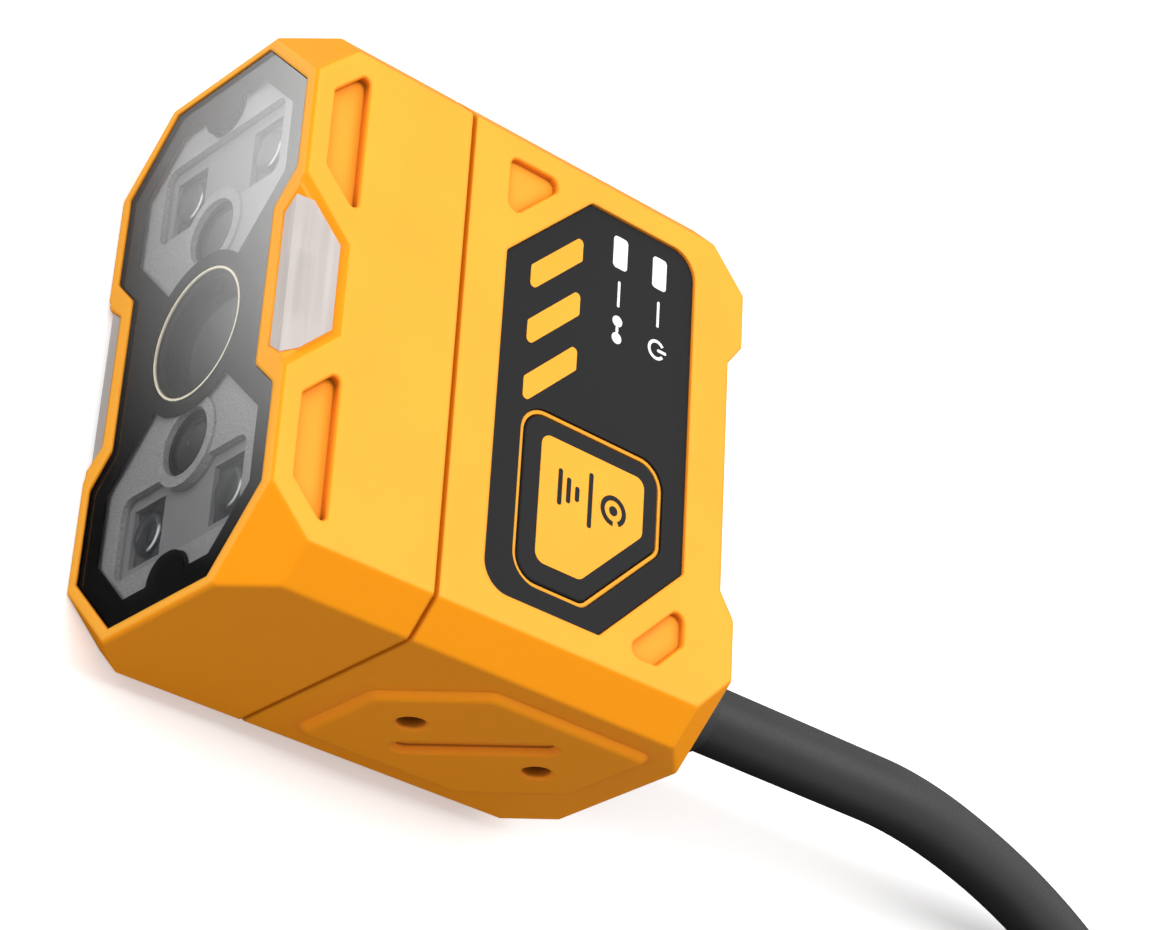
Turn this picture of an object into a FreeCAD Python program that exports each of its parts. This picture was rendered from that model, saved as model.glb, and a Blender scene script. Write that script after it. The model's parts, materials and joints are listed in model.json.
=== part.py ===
import FreeCAD, Part
import math
import os
import re

import Sketcher
from FreeCAD import Placement, Rotation, Vector

# Fixed mount code reader, in millimetres: X across its width, Y from the window at the front to the
# cable at the rear, +Z out of the panel face. It lies on its lower face, with the origin below its middle.

# A size written as a formula follows the size that it names.
SIZES = {
    # Housing shell
    "width": 52.0,
    "depth": 48.8,
    "height": 28.5,
    "edge_chamfer": 3.0,
    "corner_cut": 6.95,
    "edge_round": 0.5,
    "seam_depth": 16.8,
    "seam_gap": 0.5,
    "seam_inset": 0.6,
    "front_wall": 2.6,
    "rear_wall": 2.2,
    "seal_inset": 1.0,
    "seal_width": 0.9,
    "seal_depth": 0.8,
    "loose_fit": 0.1,
    "close_fit": 0.05,
    "thread_fit": 0.03,
    # Window and mask at the front
    "rim_end": 1.0,
    "rim_side": 1.35,
    "rim_cut": 8.45,
    "window_recess": 0.12,
    "window_thick": 1.0,
    "mask_thick": 0.15,
    "mask_gap": 0.02,
    "opening_cut": 10.65,
    "opening_ledge": 0.9,
    "notch_half": 7.4,
    "notch_drop": 4.1,
    "notch_depth": 5.6,
    "notch_round": 0.8,
    "zone_end": 3.45,
    "zone_side": 3.7,
    "zone_cut": 11.8,
    "zone_split": 0.6,
    "hub_radius": "=lens_radius + 1.45",
    "bump_half": 2.6,
    "bump_long": 2.25,
    "bump_round": 2.3,
    # Light wedges let into the front edge
    "wedge_half": 4.05,
    "wedge_reach": 4.45,
    "wedge_drop": 2.6,
    "wedge_taper": 1.45,
    "wedge_set": 0.25,
    "wedge_bevel_long": 1.2,
    "wedge_bevel_high": 0.85,
    "wedge_border": 0.6,
    "wedge_lip": 0.25,
    "stem_half": 3.0,
    "stem_start": 1.7,
    "stem_thick": 1.1,
    # Recesses in the upper and lower faces
    "flank_front": 2.06,
    "flank_rear": 5.45,
    "flank_near": 10.7,
    "flank_far": 18.15,
    "flank_depth": 0.9,
    "flank_round": 0.5,
    "nook_edge": 20.9,
    "nook_front": 20.9,
    "nook_front_line": 6.4,
    "nook_rear": 42.9,
    "nook_rear_line": 57.05,
    "nook_rear_cut": 60.9,
    "nook_depth": 0.7,
    "nook_round": 0.8,
    "recess_lip": 0.25,
    # Light frame and what sits in it
    "frame_start": 1.7,
    "frame_thick": 1.9,
    "frame_leg_radius": 1.3,
    "frame_leg_spread": 10.8,
    "frame_leg_height": 8.2,
    "trough_near": 12.4,
    "trough_far": 20.0,
    "trough_half": 8.6,
    "trough_depth": 0.75,
    "trough_round": 1.1,
    "lamp_spread": 16.1,
    "lamp_height": 5.6,
    "lamp_long": 5.4,
    "lamp_tall": 4.4,
    "lamp_radius": 1.95,
    "lamp_sink": 0.4,
    "lamp_flange": 0.6,
    "lamp_dome": 0.6,
    "lamp_crown": 0.55,
    "lamp_base_long": 4.2,
    "lamp_base_tall": 4.0,
    "lamp_base_thick": 0.6,
    "emitter_side": 2.0,
    "emitter_thick": 0.6,
    "emitter_room": 0.8,
    "aimer_spread": "=lens_radius + 4.1",
    "aimer_hole": 3.05,
    "aimer_boss": 4.0,
    "aimer_boss_rise": 0.25,
    "aimer_front": 1.95,
    "aimer_bore": 2.1,
    "aimer_lens_radius": 2.5,
    "aimer_lens_seat": 0.75,
    "aimer_lens_thick": 0.5,
    "aimer_lens_crown": 0.35,
    # Lens, sensor and the boards in the front housing
    "lens_radius": 6.0,
    "lens_front": 1.75,
    "lens_rear": 12.2,
    "lens_mouth": 5.2,
    "lens_bore": 4.2,
    "lens_seat": 1.3,
    "trim_inner": "=lens_radius - 0.2",
    "trim_outer": "=lens_radius",
    "trim_thick": 0.55,
    "lens_room": 0.35,
    "front_glass_radius": 4.6,
    "front_glass_thick": 2.2,
    "front_glass_crown": 0.8,
    "rear_glass_radius": 3.4,
    "rear_glass_thick": 1.8,
    "rear_glass_crown": 0.4,
    "holder_half": "=lens_radius + 1.5",
    "holder_front": 8.4,
    "light_board_start": 6.0,
    "light_board_thick": 1.2,
    "board_edge_gap": 0.25,
    "post_inset": 9.5,
    "post_drop": 4.05,
    "post_radius": 1.7,
    "post_start": 4.2,
    "small_screw": 0.7,
    "small_head": 1.3,
    "small_head_thick": 1.0,
    "sensor_board_start": 14.9,
    "sensor_board_thick": 1.2,
    "sensor_board_end": 6.5,
    "sensor_board_side": 3.8,
    "spacer_spread": 13.0,
    "spacer_height": 8.0,
    "spacer_radius": 1.7,
    "sensor_long": 9.0,
    "sensor_tall": 7.4,
    "sensor_thick": 1.0,
    # Screws that close the case
    "case_screw_inset": 3.4,
    "case_screw": 1.2,
    "case_head": 2.1,
    "case_head_thick": 1.5,
    "case_head_start": 1.7,
    "case_key": 1.0,
    "case_key_depth": 0.8,
    "case_boss": 2.45,
    "case_column": 7.2,
    "case_screw_bite": 5.7,
    # Black panel on the upper face
    "panel_half": 20.5,
    "panel_front": 21.03,
    "panel_rear": 42.59,
    "panel_front_line": 9.65,
    "panel_rear_line": 54.0,
    "panel_round": 2.6,
    "panel_corner": 0.6,
    "panel_seat": 0.75,
    "panel_thick": 0.5,
    "panel_fit": 0.08,
    "pipe_near": 15.45,
    "pipe_far": 18.7,
    "pipe_first": 33.05,
    "pipe_wide": 1.65,
    "pipe_pitch": 4.65,
    "pipe_round": 0.4,
    "pipe_flange": 0.5,
    "pipe_flange_thick": 0.6,
    "pipe_gap": 0.2,
    "indicator_long": 1.6,
    "indicator_wide": 0.9,
    "indicator_thick": 0.6,
    # Push button
    "button_left": 2.0,
    "button_right": 18.5,
    "button_front": 24.1,
    "button_rear": 40.0,
    "button_line": 50.4,
    "button_round": 2.6,
    "button_cut_round": 1.6,
    "ridge_wide": 0.35,
    "ridge_rise": 0.3,
    "button_gap": 0.12,
    "button_top": 0.3,
    "button_thick": 0.9,
    "button_edge": 0.25,
    "button_travel": 0.4,
    "well_drop": 2.1,
    "button_floor": 1.55,
    "button_skirt": 1.1,
    "button_stem": 1.6,
    "button_stem_end": 3.6,
    "button_seal_hole": 2.6,
    "button_seal_thick": 1.0,
    "key_board_drop": 4.9,
    "key_board_thick": 1.0,
    "key_board_front": 22.5,
    "key_board_rear": 43.0,
    "key_board_left": 20.5,
    "key_board_right": 20.0,
    "key_boss_radius": 2.0,
    "key_boss_left": 12.0,
    "key_boss_front": 25.5,
    "key_boss_right": 5.0,
    "key_boss_rear": 40.5,
    "key_screw_bite": 2.2,
    "switch_half": 2.5,
    "switch_thick": "=key_board_drop - button_stem_end - button_travel - plunger_spare",
    "plunger_radius": 1.1,
    "plunger_long": 0.8,
    "plunger_spare": 0.2,
    # Mounting pads on the ends
    "pad_front": 20.1,
    "pad_rear": 45.0,
    "pad_half": 9.0,
    "pad_cut": 7.3,
    "pad_raise": 0.7,
    "pad_slope": 0.65,
    "pad_round": 0.8,
    "pad_corner": 1.5,
    "mount_middle": 32.6,
    "mount_pitch": 13.7,
    "mount_hole": 1.25,
    "mount_mouth": 0.25,
    "mount_hole_depth": 5.0,
    "mount_boss": 3.0,
    "mount_boss_floor": 1.3,
    "slot_long": 13.5,
    "slot_wide": 1.5,
    "slot_depth": 0.75,
    "slot_slope": 0.55,
    # Rear channel, boards and cable entry
    "channel_half": 14.05,
    "channel_slope": 2.65,
    "channel_depth": 1.9,
    "stack_post": 7.1,
    "stack_post_radius": 2.0,
    "stack_gap": 8.8,
    "stack_board_thick": 1.4,
    "stack_board_end": 5.3,
    "stack_board_low": 1.05,
    "stack_board_high": 1.35,
    "stack_left": 17.0,
    "stack_inner": 7.0,
    "stack_low": 1.8,
    "stack_high": 1.4,
    "stack_screw": 0.9,
    "stack_head": 1.7,
    "stack_head_thick": 1.2,
    "stack_screw_bite": 4.4,
    "chip_side": 12.0,
    "chip_thick": 1.2,
    "chip_left": 4.0,
    "chip_low": 2.5,
    "heat_pad_thick": 1.5,
    "memory_long": 9.0,
    "memory_tall": 7.0,
    "memory_thick": 1.0,
    "memory_left": 11.5,
    "flex_half": 5.0,
    "flex_thick": 0.3,
    "flex_plug_thick": 1.2,
    "flex_plug_tall": 2.6,
    "cable_radius": 3.2,
    "cable_across": 15.0,
    "cable_hole": 4.2,
    "cable_boss": 5.6,
    "gland_flange": 5.2,
    "gland_flange_thick": 1.2,
    "gland_collar": 4.9,
    "gland_collar_long": 1.2,
    "gland_tip": 3.8,
    "gland_long": 8.4,
    "gland_rib": 0.9,
    "gland_rib_floor": 3.6,
    "socket_long": 8.0,
    "socket_tall": 6.0,
    "cable_inner_end": 3.7,
    # Round connector on the far end of the lead
    "plug_sleeve": 4.6,
    "plug_sleeve_long": 6.0,
    "plug_grip": 6.4,
    "plug_tail": 10.0,
    "plug_grip_long": 15.0,
    "plug_nut": 7.3,
    "plug_nut_long": 12.0,
    "plug_nut_bore": 5.5,
    "plug_neck": 5.2,
    "plug_neck_long": 3.0,
    "plug_flute": 0.9,
    "plug_flute_out": 0.3,
    "plug_flute_radius": 0.54,
    "plug_insert": 4.3,
    "plug_insert_long": 5.5,
    "plug_pin": 0.5,
    "plug_pin_circle": 2.6,
    "plug_pin_long": 2.5,
}

# Route of the lead, chosen by hand: out of the gland, down to the surface, round and back to the plug
ROUTE = [
    (15.0, 16.6, 14.25),
    (15.0, 62.0, 14.25),
    (16.0, 94.0, 3.9),
    (29.5, 112.5, 3.25),
    (51.5, 119.5, 3.25),
    (73.0, 112.0, 3.25),
    (86.0, 93.0, 3.25),
    (88.0, 69.0, 3.4),
    (84.0, 44.0, 7.5),
    (79.0, 20.0, 7.5),
]
ARC_SHARE = 0.45
NUT_FLUTES = 24
PIN_COUNT = 8
GLAND_GAPS = (1, 3, 5)

# Two places closer than this are one place, and a feature changes the volume by more than this
NEAR = 0.001
LEAST_CHANGE = 1e-6

doc = FreeCAD.newDocument("CodeReader")
sheet = doc.addObject("Spreadsheet::Sheet", "Sizes")
for row, alias in enumerate(SIZES, start=1):
    sheet.set("A%d" % row, alias)
    sheet.setAlias("B%d" % row, alias)
for row, size in enumerate(SIZES.values(), start=1):
    sheet.set("B%d" % row, str(size))
doc.recompute()

NAMES = re.compile(r"\b(" + "|".join(sorted(SIZES, key=len, reverse=True)) + r")\b")
MIDDLE = "height / 2"
PAST = "2"
PLANES = {"X": "YZ_Plane", "Y": "XZ_Plane", "Z": "XY_Plane"}
nodes = []


# Values and bindings

def linked(text):
    """An expression with every size's name pointing at its cell."""
    return NAMES.sub(r"Sizes.\1", text)


def value(text):
    return float(sheet.evalExpression(linked(text)))


def bind(item, prop, text):
    item.setExpression(prop, linked(text))


def minus(text):
    return "-(%s)" % text


def back(distance):
    """The Y of a place that lies a distance behind the front plane."""
    return "(%s) - depth / 2" % distance


def below_top(distance):
    """The Z of a place that lies a distance below the upper face."""
    return "height - (%s)" % distance


# Sketches and features

def new_body(label, pieces_apart=False):
    body = doc.addObject("PartDesign::Body", label)
    body.Label = label
    body.AllowCompound = pieces_apart
    nodes.append(body)
    return body


def sketch_on(body, name, axis, place, turn=0):
    """A sketch across an axis; its sides are (Y, Z), (X, Z) or (X, Y) for X, Y and Z."""
    sketch = body.newObject("Sketcher::SketchObject", name)
    support = [item for item in body.Origin.OriginFeatures if item.Role == PLANES[axis]]
    sketch.AttachmentSupport = (support[0], [""])
    sketch.MapMode = "FlatFace"
    sketch.AttachmentOffset = Placement(Vector(), Rotation(Vector(1, 0, 0), turn))
    bind(sketch, "AttachmentOffset.Base.z", minus(place) if axis == "Y" else place)
    return sketch


def hold_point(sketch, geometry, end, across, along):
    """Ties a point of a sketch to two expressions."""
    for kind, text in (("DistanceX", across), ("DistanceY", along)):
        rule = sketch.addConstraint(Sketcher.Constraint(kind, -1, 1, geometry, end, value(text)))
        bind(sketch, "Constraints[%d]" % rule, text)


def add_circle(sketch, across, along, radius):
    centre = Vector(value(across), value(along), 0)
    circle = sketch.addGeometry(Part.Circle(centre, Vector(0, 0, 1), value(radius)), False)
    hold_point(sketch, circle, 3, across, along)
    rule = sketch.addConstraint(Sketcher.Constraint("Radius", circle, value(radius)))
    bind(sketch, "Constraints[%d]" % rule, radius)


def add_polygon(sketch, points):
    """A closed outline through (across, along) points; a third value rounds that corner."""
    corners = [Vector(value(point[0]), value(point[1]), 0) for point in points]
    arrive, depart, arcs = list(corners), list(corners), {}
    for index, point in enumerate(points):
        if len(point) == 3:
            corner, radius = corners[index], value(point[2])
            before = (corners[index - 1] - corner).normalize()
            after = (corners[(index + 1) % len(points)] - corner).normalize()
            half = before.getAngle(after) / 2
            centre = corner + (before + after).normalize() * (radius / math.sin(half))
            arrive[index] = corner + before * (radius / math.tan(half))
            depart[index] = corner + after * (radius / math.tan(half))
            top = centre + (corner - centre).normalize() * radius
            forward = (arrive[index] - centre).cross(depart[index] - centre).z > 0
            arcs[index] = (Part.Arc(arrive[index], top, depart[index]), forward)
    lines = []
    for start, end in zip(depart, arrive[1:] + arrive[:1]):
        lines.append(sketch.addGeometry(Part.LineSegment(start, end), False))
    for index, point in enumerate(points):
        line, leaving = lines[index - 1], lines[index]
        if index not in arcs:
            sketch.addConstraint(Sketcher.Constraint("Coincident", line, 2, leaving, 1))
            hold_point(sketch, leaving, 1, point[0], point[1])
            continue
        shape, forward = arcs[index]
        arc = sketch.addGeometry(shape, False)
        sketch.addConstraint(Sketcher.Constraint("Tangent", line, 2, arc, 1 if forward else 2))
        sketch.addConstraint(Sketcher.Constraint("Tangent", leaving, 1, arc, 2 if forward else 1))
        rule = sketch.addConstraint(Sketcher.Constraint("Radius", arc, value(point[2])))
        bind(sketch, "Constraints[%d]" % rule, point[2])
        tip = sketch.addGeometry(Part.Point(corners[index]), True)
        hold_point(sketch, tip, 1, point[0], point[1])
        sketch.addConstraint(Sketcher.Constraint("PointOnObject", tip, 1, line))
        sketch.addConstraint(Sketcher.Constraint("PointOnObject", tip, 1, leaving))


def add_outlines(sketch, outlines):
    for outline in outlines:
        if isinstance(outline, tuple):
            add_circle(sketch, *outline)
        else:
            add_polygon(sketch, outline)


def settle(body, feature, before, cut):
    """Recomputes and makes sure that a feature added or removed material."""
    doc.recompute()
    change = feature.Shape.Volume - before
    if (change < -LEAST_CHANGE) != cut or abs(change) < LEAST_CHANGE:
        raise RuntimeError("%s in %s changed the volume by %g" % (feature.Name, body.Label, change))
    return feature


def volume_of(body):
    return body.Shape.Volume if body.Tip else 0.0


def prism(body, name, axis, start, length, outlines, cut=False):
    """A pad or pocket from a place on an axis, in the axis's own direction."""
    before = volume_of(body)
    sketch = sketch_on(body, name + "_sketch", axis, start)
    add_outlines(sketch, outlines)
    feature = body.newObject("PartDesign::Pocket" if cut else "PartDesign::Pad", name)
    feature.Profile = sketch
    feature.Reversed = (axis == "Y") != cut
    bind(feature, "Length", length)
    return settle(body, feature, before, cut)


def loft(body, name, axis, start, first, end, last, cut=False):
    """A ruled solid, or hollow, between two outlines across an axis."""
    before = volume_of(body)
    profile = sketch_on(body, name + "_start", axis, start)
    add_polygon(profile, first)
    section = sketch_on(body, name + "_end", axis, end)
    add_polygon(section, last)
    feature = body.newObject("PartDesign::SubtractiveLoft" if cut else "PartDesign::AdditiveLoft", name)
    feature.Profile = profile
    feature.Sections = [(section, [""])]
    feature.Ruled = True
    return settle(body, feature, before, cut)


def turned(body, name, profile, cut=False):
    """A solid of revolution about the body's own Y axis, from (radius, Y) points."""
    before = volume_of(body)
    sketch = sketch_on(body, name + "_sketch", "Z", "0")
    add_polygon(sketch, profile)
    feature = body.newObject("PartDesign::Groove" if cut else "PartDesign::Revolution", name)
    feature.Profile = sketch
    feature.ReferenceAxis = (sketch, ["V_Axis"])
    feature.Angle = 360
    return settle(body, feature, before, cut)


def dress(body, kind, name, prop, size, chosen):
    """A fillet or chamfer on the edges that a test picks."""
    base = body.Tip
    before = volume_of(body)
    edges = ["Edge%d" % index for index, edge in enumerate(base.Shape.Edges, start=1) if chosen(edge)]
    feature = body.newObject("PartDesign::" + kind, name)
    feature.Base = (base, edges)
    bind(feature, prop, size)
    doc.recompute()
    if not edges or abs(feature.Shape.Volume - before) < LEAST_CHANGE:
        raise RuntimeError("%s in %s found no edges" % (name, body.Label))
    return feature


def move(body, across, along, up):
    bind(body, "Placement.Base.x", across)
    bind(body, "Placement.Base.y", along)
    bind(body, "Placement.Base.z", up)


# Outlines

def mirrored(quarter):
    """A closed (X, Z) outline from its upper right quarter, listed from the end towards the middle."""
    turn = list(reversed(quarter))
    points = [(x, "%s + (%s)" % (MIDDLE, z), *radius) for x, z, *radius in quarter]
    points += [(minus(x), "%s + (%s)" % (MIDDLE, z), *radius) for x, z, *radius in turn]
    points += [(minus(x), "%s - (%s)" % (MIDDLE, z), *radius) for x, z, *radius in quarter]
    points += [(x, "%s - (%s)" % (MIDDLE, z), *radius) for x, z, *radius in turn]
    return points


def facets(end, side, cut):
    """Eight-sided section: insets from the end and side faces, and the corner taken off the full box."""
    half = "(width / 2 - (%s))" % end
    tall = "(height / 2 - (%s))" % side
    line = "((width + height) / 2 - (%s))" % cut
    return mirrored([(half, "%s - %s" % (line, half)), ("%s - %s" % (line, tall), tall)])


def inset_facets(inset):
    return facets(inset, inset, "edge_chamfer + (%s) * sqrt(2)" % inset)


def notched(end, side, cut, half_notch, drop):
    """The eight-sided section with a rounded 45 degree notch in each long side for a light wedge."""
    half = "(width / 2 - (%s))" % end
    tall = "(height / 2 - (%s))" % side
    line = "((width + height) / 2 - (%s))" % cut
    floor = "(height / 2 - (%s))" % drop
    return mirrored([
        (half, "%s - %s" % (line, half)),
        ("%s - %s" % (line, tall), tall),
        ("(%s) + %s - %s" % (half_notch, tall, floor), tall, "notch_round"),
        (half_notch, floor, "notch_round"),
    ])


def window_outline(gap):
    slant = "(%s) * tan(22.5)" % gap
    return notched("rim_end + " + gap, "rim_side + " + gap, "rim_cut + (%s) * sqrt(2)" % gap,
                   "notch_half + " + slant, "notch_drop + " + gap)


def opening_outline(gap):
    slant = "(opening_ledge + %s) * tan(22.5)" % gap
    return notched("front_wall + " + gap, "front_wall + " + gap, "opening_cut + (%s) * sqrt(2)" % gap,
                   "notch_half + " + slant, "notch_drop + opening_ledge + " + gap)


def opening_behind(gap):
    return facets("front_wall + " + gap, "front_wall + " + gap, "opening_cut + (%s) * sqrt(2)" % gap)


def oblong(across, along, wide, tall):
    """A rectangle about a middle point."""
    left, right = "%s - (%s) / 2" % (across, wide), "%s + (%s) / 2" % (across, wide)
    low, high = "%s - (%s) / 2" % (along, tall), "%s + (%s) / 2" % (along, tall)
    return [(left, low), (right, low), (right, high), (left, high)]


def rounded(outline, radius):
    """An outline with the same radius on each of its corners."""
    return [(across, along, radius) for across, along in outline]


def panel_outline(gap):
    """The black panel's outline: two corners cut at 45 degrees, two with a large radius."""
    left, right = minus("panel_half - " + gap), "panel_half - " + gap
    front, rear = back("panel_front + " + gap), back("panel_rear - " + gap)
    first = "(panel_front_line + %s * sqrt(2))" % gap
    second = "(panel_rear_line - %s * sqrt(2))" % gap
    radius, slight = "panel_round - " + gap, "panel_corner - " + gap
    return [
        (left, back("%s + panel_half - %s" % (first, gap)), slight),
        ("%s - (panel_front + %s)" % (first, gap), front, slight),
        (right, front, radius),
        (right, back("%s - (panel_half - %s)" % (second, gap)), slight),
        ("%s - (panel_rear - %s)" % (second, gap), rear, slight),
        (left, rear, radius),
    ]


def button_outline(inset):
    """The button's rounded outline, with one rear corner cut at 45 degrees."""
    left, right = "button_left + " + inset, "button_right - (%s)" % inset
    front, rear = back("button_front + " + inset), back("button_rear - (%s)" % inset)
    line = "(button_line - (%s) * sqrt(2))" % inset
    radius, slight = "button_round - (%s)" % inset, "button_cut_round - (%s)" % inset
    return [
        (left, front, radius),
        (right, front, radius),
        (right, back("%s - (%s)" % (line, right)), slight),
        ("%s - (button_rear - (%s))" % (line, inset), rear, slight),
        (left, rear, radius),
    ]


def pipe_outline(index, grow):
    """One indicator lamp's rounded rectangle, seen from above."""
    middle = back("pipe_first + pipe_wide / 2 + %d * pipe_pitch" % index)
    field = oblong("-(pipe_near + pipe_far) / 2", middle, "pipe_far - pipe_near + 2 * (%s)" % grow,
                   "pipe_wide + 2 * (%s)" % grow)
    return rounded(field, "pipe_round + (%s)" % grow)


def four_places(across, along):
    """A place in each quarter of the front view."""
    return [(sx + "(%s)" % across, "%s %s (%s)" % (MIDDLE, sz, along)) for sx in ("", "-") for sz in "+-"]


def wedge_outline(shrink, extra):
    """A light wedge seen from above, open past the front plane; its sides run at 45 degrees."""
    rear = "wedge_reach - (%s)" % shrink
    half = "wedge_half - (%s) * tan(22.5)" % shrink
    front = "%s + %s + (%s)" % (half, rear, extra)
    return [
        (minus(front), back(minus(extra))),
        (front, back(minus(extra))),
        (half, back(rear)),
        (minus(half), back(rear)),
    ]


def mounting_places():
    return [("mount_middle - mount_pitch / 2", MIDDLE), ("mount_middle + mount_pitch / 2", MIDDLE)]


STACK_LOW = "rear_wall + stack_board_low"
STACK_HIGH = "height - key_board_drop - key_board_thick - stack_board_high"
STACK_PLACES = [
    ("-stack_left", "%s - stack_high" % STACK_HIGH),
    ("-stack_left", "%s + stack_low" % STACK_LOW),
    ("stack_inner", "%s - stack_high" % STACK_HIGH),
    ("stack_left", "%s + stack_low" % STACK_LOW),
]
CASE_PLACES = [("width / 2 - case_screw_inset", MIDDLE), ("-(width / 2 - case_screw_inset)", MIDDLE)]
POST_PLACES = four_places("width / 2 - post_inset", "height / 2 - post_drop")
SPACER_PLACES = four_places("spacer_spread", "spacer_height")
KEY_PLACES = [("-key_boss_left", back("key_boss_front")), ("-key_boss_right", back("key_boss_rear"))]
BUTTON_MIDDLE = ("(button_left + button_right) / 2", back("(button_front + button_rear) / 2"))

INNER_REAR = "depth - channel_depth - rear_wall"
PROCESSOR_REAR = "%s - stack_post" % INNER_REAR
PROCESSOR_FRONT = "%s - stack_board_thick" % PROCESSOR_REAR
INTERFACE_REAR = "%s - stack_gap" % PROCESSOR_FRONT
INTERFACE_FRONT = "%s - stack_board_thick" % INTERFACE_REAR
PANEL_TOP = "panel_seat - panel_thick"


def circles(places, radius):
    return [(across, along, radius) for across, along in places]


# Housing

def cut_corners(body, rear):
    """Takes the four corners off one end of the shell, on planes that meet the long chamfers."""
    centre = "height / 2 / sqrt(2)"
    line = "((width + height) / 2 - corner_cut)"
    deep = "corner_cut"
    end, step = ("depth / 2", "-") if rear else ("-depth / 2", "+")
    outward = "+" if rear else "-"
    for turn in (45, -45):
        before = volume_of(body)
        sketch = sketch_on(body, "corner_sketch", "X", "0", turn)
        beyond, within = "%s %s %s" % (end, outward, PAST), "%s %s %s" % (end, step, deep)
        for side in "+-":
            low = "%s %s (%s - %s) / sqrt(2)" % (centre, side, line, PAST)
            high = "%s %s (%s + %s) / sqrt(2)" % (centre, side, line, deep)
            add_polygon(sketch, [(beyond, low), (within, high), (beyond, high)])
        feature = body.newObject("PartDesign::Pocket", "corner_cuts")
        feature.Profile = sketch
        feature.SideType = "Symmetric"
        bind(feature, "Length", "width + height")
        settle(body, feature, before, True)


def front_housing():
    body = new_body("front_housing")
    shell = "seam_depth - seam_gap"
    prism(body, "shell", "Y", back("0"), shell, [inset_facets("0")])
    cut_corners(body, rear=False)
    seam = value(back(shell))
    dress(body, "Fillet", "soft_edges", "Radius", "edge_round",
          lambda edge: edge.BoundBox.YMin < seam - NEAR)
    prism(body, "seam_step", "Y", back(shell), "seam_gap", [inset_facets("seam_inset")])
    seat = "window_recess + window_thick + mask_gap + mask_thick"
    prism(body, "window_seat", "Y", back("0"), seat, [window_outline("0")], cut=True)
    prism(body, "opening", "Y", back(seat), "notch_depth - (%s)" % seat, [opening_outline("0")], cut=True)
    prism(body, "inside", "Y", back("notch_depth"), "seam_depth - notch_depth", [opening_behind("0")],
          cut=True)
    head_end = "case_head_start + case_head_thick"
    prism(body, "case_bosses", "Y", back(head_end), "seam_depth - (%s)" % head_end,
          circles(CASE_PLACES, "case_boss"))
    prism(body, "head_room", "Y", back(seat), "%s - (%s)" % (head_end, seat),
          circles(CASE_PLACES, "case_head + 2 * loose_fit"), cut=True)
    prism(body, "case_holes", "Y", back(head_end), "seam_depth",
          circles(CASE_PLACES, "case_screw + loose_fit"), cut=True)
    prism(body, "posts", "Y", back("post_start"), "light_board_start - post_start",
          circles(POST_PLACES, "post_radius"))
    prism(body, "post_holes", "Y", back("post_start + thread_fit"), "light_board_start - post_start",
          circles(POST_PLACES, "small_screw + thread_fit"), cut=True)
    prism(body, "seal_groove", "Y", back("seam_depth - seal_depth"), "seal_depth",
          [inset_facets("seal_inset"), inset_facets("seal_inset + seal_width")], cut=True)
    for upper in (True, False):
        wedge_pocket(body, upper)
        flank_recesses(body, upper)
    return body


def face_heights(upper, low, high):
    """The Z of two depths under the upper face, or of the same depths over the lower face."""
    return (below_top(low), below_top(high)) if upper else (low, high)


def wedge_pocket(body, upper):
    """A tapered seat for a light wedge, with a sloping border and a slot for its stem."""
    floor, face = face_heights(upper, "wedge_drop", "0")
    border = face_heights(upper, "wedge_border", "0")[0]
    wide = wedge_outline("0", PAST)
    loft(body, "wedge_seat", "Z", floor, wedge_outline("wedge_taper", PAST), face, wide, cut=True)
    loft(body, "wedge_border", "Z", border, wide, face, wedge_outline("-wedge_border", PAST), cut=True)
    slot = oblong("0", back("stem_start + stem_thick / 2"), "2 * (stem_half + loose_fit)",
                  "stem_thick + 2 * loose_fit")
    mouth = "(wedge_drop - loose_fit)"
    start = below_top("notch_drop + opening_ledge") if upper else mouth
    prism(body, "stem_slot", "Z", start, "notch_drop + opening_ledge - " + mouth, [slot], cut=True)
    level = value(face)
    reach = value(back("wedge_reach + wedge_border"))
    across = value("wedge_half + wedge_reach + 2 * wedge_border")

    def at_lip(edge):
        box = edge.BoundBox
        flat = max(abs(box.ZMin - level), abs(box.ZMax - level)) < NEAR
        return flat and box.YMax < reach + NEAR and max(abs(box.XMin), abs(box.XMax)) < across

    dress(body, "Fillet", "wedge_lips", "Radius", "wedge_lip", at_lip)


def flank_recesses(body, upper):
    """Two shallow trapezoids beside a light wedge, widening at 45 degrees to the rear."""
    step = "(flank_rear - flank_front)"
    sides = []
    for sign in ("", "-"):
        sides.append([
            (sign + "(flank_near)", back("flank_front"), "flank_round"),
            (sign + "(flank_far)", back("flank_front"), "flank_round"),
            (sign + "(flank_far + %s)" % step, back("flank_rear"), "flank_round"),
            (sign + "(flank_near - %s)" % step, back("flank_rear"), "flank_round"),
        ])
    start = below_top("flank_depth") if upper else "0"
    prism(body, "flanks", "Z", start, "flank_depth", sides, cut=True)
    soften_mouths(body, "flank_lips", "height" if upper else "0", sides)


def soften_mouths(body, name, face, outlines):
    """Rounds the edges that recesses make with a face at a height."""
    level = value(face)
    fields = []
    for outline in outlines:
        across, along = [value(point[0]) for point in outline], [value(point[1]) for point in outline]
        fields.append((min(across) - NEAR, max(across) + NEAR, min(along) - NEAR, max(along) + NEAR))

    def at_mouth(edge):
        box = edge.BoundBox
        if max(abs(box.ZMin - level), abs(box.ZMax - level)) > NEAR:
            return False
        return any(left < box.XMin and box.XMax < right and front < box.YMin and box.YMax < rear
                   for left, right, front, rear in fields)

    dress(body, "Fillet", name, "Radius", "recess_lip", at_mouth)


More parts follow.
